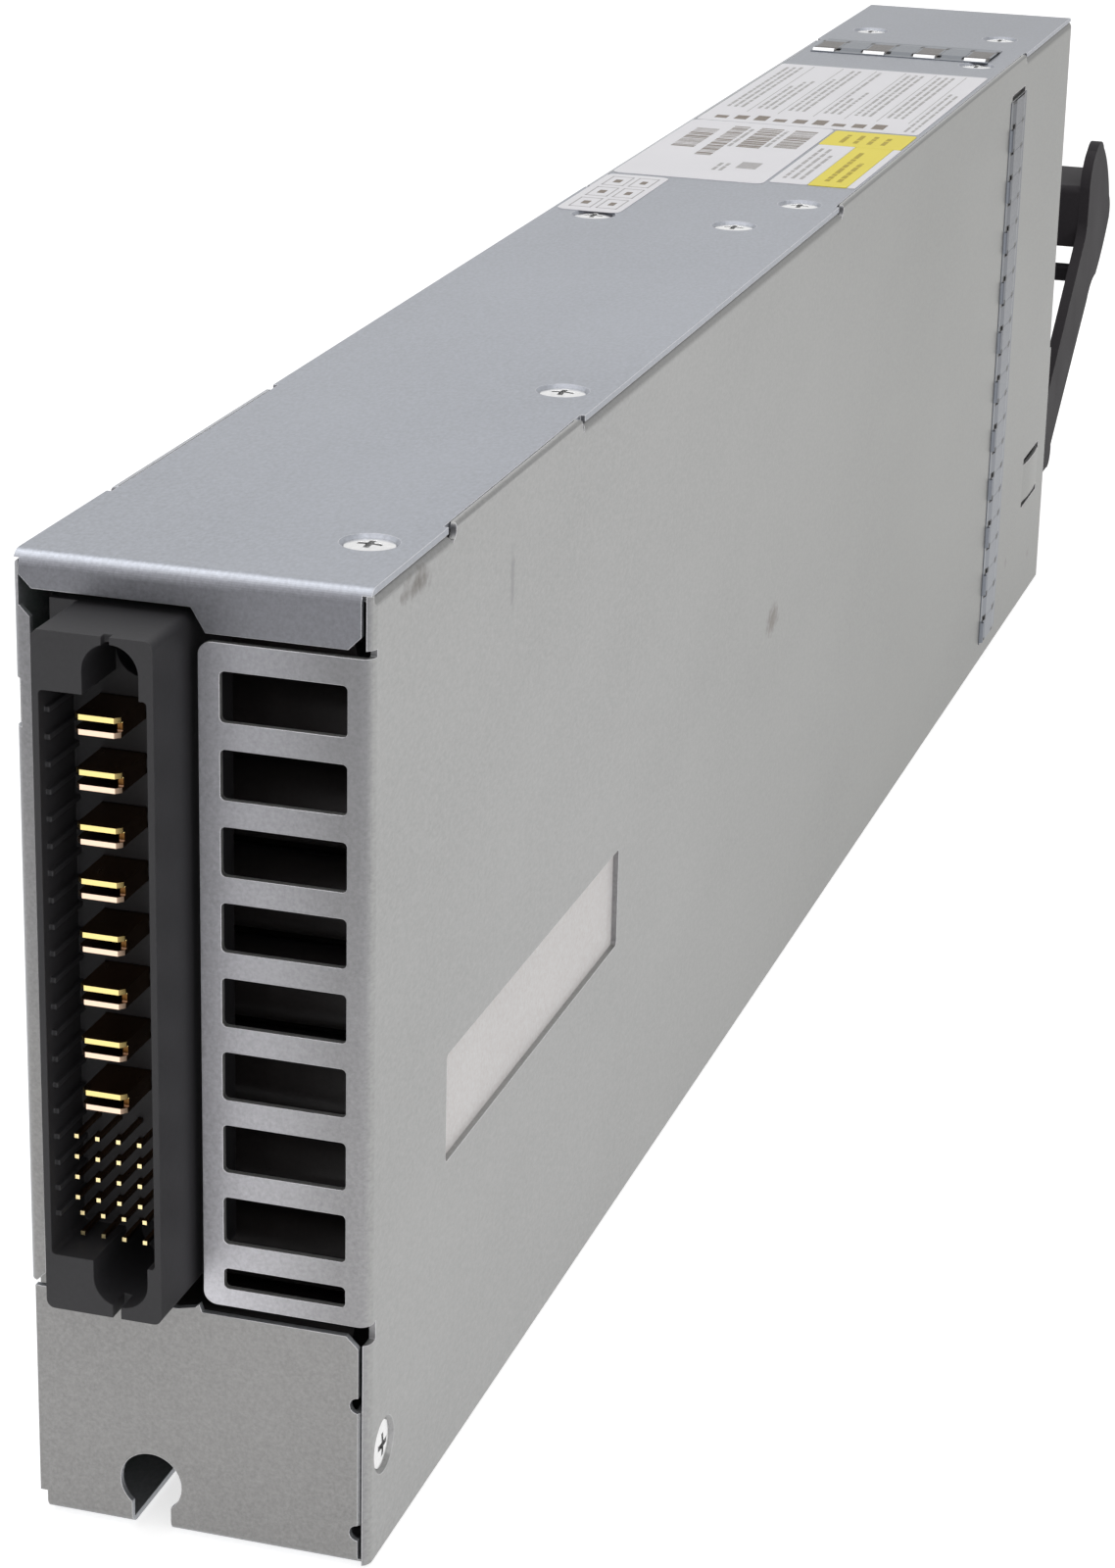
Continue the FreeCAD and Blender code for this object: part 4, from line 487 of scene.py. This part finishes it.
# ---------------------------------------------------------------- finishes
# the zinc and strip finishes carry painted light and shade: face shades, dark bands under the strips, and
# highlight and shadow on the catches
zinc = sheet_metal("zinc_plated_steel", (0.66, 0.668, 0.685), shades=[front_shade],
                   patches=[shade_under_strip("ground_spring_left", "x")])
zinc_cover = sheet_metal("zinc_plated_cover", (0.603, 0.615, 0.643),
                         shades=[front_shade, cover_shade, lip_highlight],
                         patches=[shade_under_strip("ground_spring_top", "z")])
zinc_wall = sheet_metal("zinc_plated_wall", (0.605, 0.605, 0.602),
                        shades=[vent_shade, vent_edge_shade, wall_shade, rim_shade],
                        patches=[shade_under_strip("ground_spring_right", "x")], marks=wall_scuffs)
screw_zinc = bright_metal("plated_screw", (0.88, 0.88, 0.88), roughness=0.2)
strip_tone = (0.475, 0.49, 0.52)
spring_side = sheet_metal("spring_strip", strip_tone, roughness=0.36, speckle=0.08, edge_tone=strip_tone,
                          shades=[strip_shade], slits=strip_slits("ground_spring_right", upwards, 0.12))
spring_top = sheet_metal("spring_strip_top", (0.43, 0.45, 0.48), roughness=0.36, speckle=0.08,
                         edge_tone=strip_tone, patches=catch_highlights_and_shadows(),
                         slits=strip_slits("ground_spring_top", across, 0.08))
# painted shade on the contacts' flats
gold_flat_shade = (0.34, 0.24, 0.13)
gold_pin = contact_gold("gold_contact", (1.0, 0.92, 0.70), gold_flat_shade)
contact_pitch, leaf_span, leaf_thick = 6.35 * MM, 2.32 * MM, 0.62 * MM
top_contact_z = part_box("power_blades")[1].z - leaf_span / 2
gold_leaf = contact_gold("gold_leaf", (1.0, 0.90, 0.60), gold_flat_shade,
                         (top_contact_z, contact_pitch, leaf_span / 2 - 1.2 * leaf_thick, (1.0, 0.88, 0.78)))
nickel = bright_metal("nickel_pin", (0.82, 0.81, 0.78))
brass = bright_metal("turned_brass", (0.80, 0.68, 0.42))
tin = bright_metal("tinned_copper", (0.76, 0.73, 0.68), roughness=0.35)
aluminium = sheet_metal("heatsink_aluminium", (0.78, 0.78, 0.79), roughness=0.38, fine=1500.0)
copper_wire = bright_metal("enamelled_wire", (0.72, 0.42, 0.24), roughness=0.3)
connector_black = moulding("connector_moulding", (0.14, 0.137, 0.147), roughness=0.6)
lever_black = moulding("lever_moulding", (0.135, 0.122, 0.135), roughness=0.7, fine=1400.0, shine=0.25)
fan_black = moulding("fan_moulding", (0.13, 0.13, 0.13))
inlet_black = moulding("inlet_moulding", (0.12, 0.12, 0.12), roughness=0.45)
epoxy = moulding("package_epoxy", (0.11, 0.11, 0.11), roughness=0.5)
ferrite = moulding("fired_ferrite", (0.22, 0.22, 0.23), roughness=0.7)
sleeve = moulding("capacitor_sleeve", (0.20, 0.185, 0.185), roughness=0.35)
board_green = moulding("board_solder_mask", (0.10, 0.30, 0.18), roughness=0.4, fine=900.0)
tape = moulding("winding_tape", (0.83, 0.68, 0.20), roughness=0.4)
film_box = moulding("film_capacitor_box", (0.55, 0.38, 0.16), roughness=0.35)
relay_black = moulding("relay_case", (0.10, 0.10, 0.12), roughness=0.4)
fuse_white = moulding("fuse_ceramic", (0.88, 0.87, 0.84), roughness=0.35)
light_milky = moulding("light_pipe", (0.86, 0.89, 0.87), roughness=0.25)
film = moulding("insulating_film", (0.99, 0.95, 0.935), roughness=0.45, edge_share=0.1)
label_white = paper("label_white", (0.95, 0.945, 0.96))
label_yellow = paper("label_yellow", (0.96, 0.89, 0.24))
ink = moulding("label_ink", (0.70, 0.69, 0.69), roughness=0.6)
ink_dark = moulding("label_ink_dark", (0.50, 0.46, 0.42), roughness=0.6)
ink_ochre = moulding("label_ink_ochre", (0.70, 0.62, 0.14), roughness=0.6)


def dress(material, *nodes):
    """Gives a finish to nodes of the frame."""
    for name in nodes:
        mesh = frame["nodes"][name].data
        mesh.materials.clear()
        mesh.materials.append(material)


dress(zinc_wall, "side_cover")
dress(zinc, "chassis_tray", "cover_crossbar", "fan_panel", "lever_bracket")
dress(zinc_cover, "top_cover")
dress(screw_zinc, "cover_screws", "side_screw", "board_screws", "fan_screws", "lever_pins")
dress(spring_side, "ground_spring_right", "ground_spring_left")
dress(spring_top, "ground_spring_top")
dress(film, "window_insulator", "board_insulator")
dress(connector_black, "connector_housing")
dress(gold_pin, "signal_pins")
dress(gold_leaf, "power_blades")
dress(board_green, "main_board", "control_card", "filter_board")
dress(brass, "board_standoffs")
dress(sleeve, "output_capacitors", "bulk_capacitors")
dress(tin, "output_busbars", "fuse_clips")
dress(aluminium, "rectifier_heatsink", "primary_heatsink")
dress(epoxy, "rectifier_transistors", "primary_transistors", "control_chips", "bridge_rectifier")
dress(ferrite, "transformer_cores", "boost_choke_core", "line_choke_cores")
dress(tape, "transformer_windings", "boost_choke_base", "standby_transformer")
dress(copper_wire, "boost_choke_winding", "line_choke_windings")
dress(film_box, "resonant_capacitors", "line_capacitors")
dress(relay_black, "inrush_relay")
dress(fuse_white, "line_fuse")
dress(inlet_black, "inlet_housing")
dress(nickel, "inlet_pins")
dress(light_milky, "status_lights")
dress(fan_black, "upper_fan_frame", "lower_fan_frame", "upper_fan_rotor", "lower_fan_rotor")
dress(lever_black, "release_lever")


# ---------------------------------------------------------------- labels on the cover
# Label sizes and places are in millimetres: x across, y from the middle of the length.
label_z = top_z + 0.10 * MM
ink_z = label_z + 0.012 * MM
main_ink, second_ink = 0, 1        # the material slots of a print


def piece(name, bm, *materials, body="case", slot="clear_film"):
    """Turns a bmesh into a named piece that rides on a body."""
    mesh = bpy.data.meshes.new(name)
    bmesh.ops.recalc_face_normals(bm, faces=bm.faces)
    bm.to_mesh(mesh)
    bm.free()
    obj = bpy.data.objects.new(name, mesh)
    bpy.context.scene.collection.objects.link(obj)
    for material in materials:
        mesh.materials.append(material)
    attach(obj, body)


def bar(bm, x0, x1, y0, y1, material=main_ink):
    """A printed bar on a label, as part of a larger print."""
    outline = ((x0, y0), (x1, y0), (x1, y1), (x0, y1))
    corners = [bm.verts.new((x * MM, y * MM, z)) for z in (label_z, ink_z) for x, y in outline]
    for ids in ((0, 1, 2, 3), (4, 5, 6, 7), (0, 1, 5, 4), (1, 2, 6, 5), (2, 3, 7, 6), (3, 0, 4, 7)):
        face = bm.faces.new([corners[i] for i in ids])
        face.material_index = material


def label(name, x0, x1, y0, y1, material, r=1.5):
    """A label with rounded corners."""
    corner_steps = 5
    arcs = ((x1 - r, y1 - r, 0), (x0 + r, y1 - r, 90), (x0 + r, y0 + r, 180), (x1 - r, y0 + r, 270))
    ring = []
    for centre_x, centre_y, start in arcs:
        for i in range(corner_steps + 1):
            a = math.radians(start + 90 * i / corner_steps)
            ring.append(((centre_x + r * math.cos(a)) * MM, (centre_y + r * math.sin(a)) * MM))
    bm = bmesh.new()
    low = [bm.verts.new((x, y, top_z + 0.005 * MM)) for x, y in ring]
    high = [bm.verts.new((x, y, label_z)) for x, y in ring]
    bm.faces.new(low)
    bm.faces.new(high)
    for i in range(len(ring)):
        j = (i + 1) % len(ring)
        bm.faces.new((low[i], low[j], high[j], high[i]))
    piece(name, bm, material)


def greeked_lines(bm, x0, x1, y0, y1, pitch, height, full_rows=0.8, material=main_ink):
    """Rows of short bars in place of words, each row running along the length.

    full_rows is the share of rows that run to the end. The others stop short.
    """
    word_gap, shortest = 0.6, 1.0
    for row in range(int((x1 - x0) / pitch)):
        x = x0 + (row + 0.5) * pitch
        y = y0
        end = y0 + (y1 - y0) * (1 if chance.random() < full_rows else chance.uniform(0.35, 0.8))
        while y < end - shortest:
            step = min(chance.uniform(2.0, 6.5), end - y)
            bar(bm, x - height / 2, x + height / 2, y, y + step - word_gap, material)
            y += step


def rating_label():
    """Large label with six columns of small print, thin rules between them and a row of marks."""
    label("rating_label", -20.0, 19.4, 69.8, 132.4, label_white, r=0.8)
    bm = bmesh.new()
    column_width, rule_width = 4.6, 0.16
    for x0 in (-18.6, -13.0, -7.4, -1.0, 4.6, 10.4):
        greeked_lines(bm, x0, x0 + column_width, 84.0, 130.0, 1.25, 0.55, full_rows=0.55)
    for x in (-13.5, -7.9, -1.5, 4.1, 9.9, 15.6):
        bar(bm, x - rule_width / 2, x + rule_width / 2, 80.0, 131.0)
    greeked_lines(bm, 16.0, 18.8, 72.0, 130.0, 1.3, 0.5)
    marks, mark_pitch, mark_width = 9, 3.5, 2.2
    for i in range(marks):
        x = -17.5 + i * mark_pitch
        bar(bm, x, x + mark_width, 72.4, 75.0 + (i % 3), second_ink)
    piece("rating_label_print", bm, ink, ink_dark)


def serial_label():
    """Label with four ruled bar patterns and short lines beside them."""
    label("serial_label", -20.2, 5.0, 17.8, 69.4, label_white)
    bm = bmesh.new()
    for x0, x1, y0, y1 in ((-17.5, -13.5, 44.0, 62.0), (-11.8, -9.0, 38.0, 65.0), (-7.0, -3.0, 47.0, 66.0),
                           (-1.0, 3.0, 49.0, 65.0)):
        y = y0
        while y < y1:
            wide = chance.choice((0.35, 0.35, 0.7, 1.0))
            bar(bm, x0, x1, y, y + wide, second_ink)
            y += wide + chance.choice((0.3, 0.45, 0.7))
    greeked_lines(bm, -8.8, -7.4, 47.0, 65.0, 1.2, 0.6)
    greeked_lines(bm, -2.8, -1.4, 49.0, 65.0, 1.2, 0.6)
    bar(bm, -2.4, 1.0, 29.0, 34.5)
    greeked_lines(bm, -6.0, -3.2, 26.0, 33.0, 1.2, 0.6)
    piece("serial_label_print", bm, ink, ink_dark)


def two_tone_label():
    """Label of yellow and white fields, each field a sheet of its own."""
    label("plain_yellow_band", 5.4, 19.6, 55.0, 68.6, label_yellow, r=0.6)
    label("plain_yellow_strip", 12.0, 18.4, 20.0, 54.9, label_yellow, r=0.4)
    label("plain_white_strip", 5.6, 11.9, 20.0, 54.9, label_white, r=0.4)
    label("plain_white_margin", 18.5, 19.8, 20.0, 54.9, label_white, r=0.3)
    bm = bmesh.new()
    greeked_lines(bm, 6.4, 11.4, 24.0, 52.0, 1.4, 0.6, full_rows=0.4)
    greeked_lines(bm, 13.2, 17.2, 24.0, 51.0, 2.0, 0.8, full_rows=0.7, material=second_ink)
    greeked_lines(bm, 7.4, 17.6, 58.0, 66.0, 2.4, 0.8, full_rows=0.6, material=second_ink)
    piece("two_tone_label_print", bm, ink, ink_ochre)


def cell_label():
    """Small label with two columns of ruled cells and a spot in each."""
    label("cell_label", -20.1, -9.9, -13.6, 16.4, label_white)
    bm = bmesh.new()
    rows, row_pitch, cell_length = 3, 9.0, 7.0
    end_rule, side_rule = 0.25, 0.2
    for row in range(rows):
        y0 = -11.0 + row * row_pitch
        y1 = y0 + cell_length
        for x0, x1 in ((-18.8, -15.2), (-14.4, -11.0)):
            bar(bm, x0, x1, y0, y0 + end_rule)
            bar(bm, x0, x1, y1, y1 + end_rule)
            bar(bm, x0, x0 + side_rule, y0, y1 + end_rule)
            bar(bm, x1 - side_rule, x1, y0, y1 + end_rule)
            bar(bm, x0 + 1.2, x1 - 1.2, y0 + 2.4, y0 + 4.8, second_ink)
    piece("cell_label_print", bm, ink, ink_dark)


rating_label()
serial_label()
two_tone_label()
cell_label()


# ---------------------------------------------------------------- floor, light, camera
def seen_directly(tree):
    """One for what the camera, a reflection or clear material looks at."""
    rays = tree.nodes.new("ShaderNodeLightPath").outputs
    seen = maths(tree, "MAXIMUM", rays["Is Camera Ray"], rays["Is Glossy Ray"])
    return maths(tree, "MAXIMUM", seen, rays["Is Transmission Ray"])


def studio_white(name, tone, glow):
    """Matt white that the camera and reflections see as white, and that still takes the shadow."""
    material, tree, bsdf = new_finish(name)
    noise = place(tree, grain, Fine_scale=300.0, Cloud_scale=3.0)
    feed(tree, bsdf, "Base Color", blended(tree, noise["Clouds"], scaled(tone, 0.995), colour(*tone)))
    bsdf.inputs["Roughness"].default_value = 0.9
    bsdf.inputs["Emission Color"].default_value = (1, 1, 1, 1)
    feed(tree, bsdf, "Emission Strength", maths(tree, "MULTIPLY", seen_directly(tree), glow))
    return material


def floor():
    """Pale floor just under the case."""
    half_size, drop = 6.0, 0.4 * MM
    bm = bmesh.new()
    bmesh.ops.create_grid(bm, x_segments=8, y_segments=8, size=half_size)
    mesh = bpy.data.meshes.new("floor")
    bm.to_mesh(mesh)
    bm.free()
    obj = bpy.data.objects.new("floor", mesh)
    obj.location.z = cad_box[0][2] - drop
    mesh.materials.append(studio_white("studio_floor", (0.85, 0.85, 0.85), 0.69))
    bpy.context.scene.collection.objects.link(obj)


def lamp(name, at, aim, size, power):
    light = bpy.data.lights.new(name, "AREA")
    light.shape = "SQUARE"
    light.size = size
    light.energy = power
    obj = bpy.data.objects.new(name, light)
    obj.location = at
    obj.rotation_euler = (Vector(aim) - Vector(at)).to_track_quat("-Z", "Y").to_euler()
    bpy.context.scene.collection.objects.link(obj)


def world(light_level, seen_level):
    """White all round, dimmer as a light than as a background."""
    scene = bpy.context.scene
    scene.world = bpy.data.worlds.new("studio")
    scene.world.use_nodes = True
    tree = scene.world.node_tree
    back = tree.nodes["Background"]
    back.inputs["Color"].default_value = (1, 1, 1, 1)
    feed(tree, back, "Strength", ramp(tree, seen_directly(tree), low=light_level, high=seen_level))


def camera():
    scene = bpy.context.scene
    lens = bpy.data.cameras.new("camera")
    lens.sensor_width = 36.0
    lens.sensor_fit = "AUTO"
    lens.lens = 89.64
    lens.clip_start = 0.01
    obj = bpy.data.objects.new("camera", lens)
    right = Vector((0.95579, 0.29321, 0.02201))
    up = Vector((-0.11981, 0.32000, 0.93981))
    back = right.cross(up)
    turn = Matrix((right, up, back)).transposed().to_4x4()
    obj.matrix_world = Matrix.Translation((0.15375, -0.58841, 0.24196)) @ turn
    scene.collection.objects.link(obj)
    scene.camera = obj
    scene.view_settings.view_transform = "Standard"


connector_half = (0, -0.1, 0.06)
floor()
lamp("top_softbox", (-0.3, -0.2, 1.6), (0, 0, 0.1), 1.6, 9.0)
lamp("front_softbox", (0.5, -1.7, 0.7), connector_half, 1.2, 2.5)
lamp("side_softbox", (1.5, -1.0, 0.6), connector_half, 1.4, 4.0)
world(light_level=0.45, seen_level=1.0)
camera()
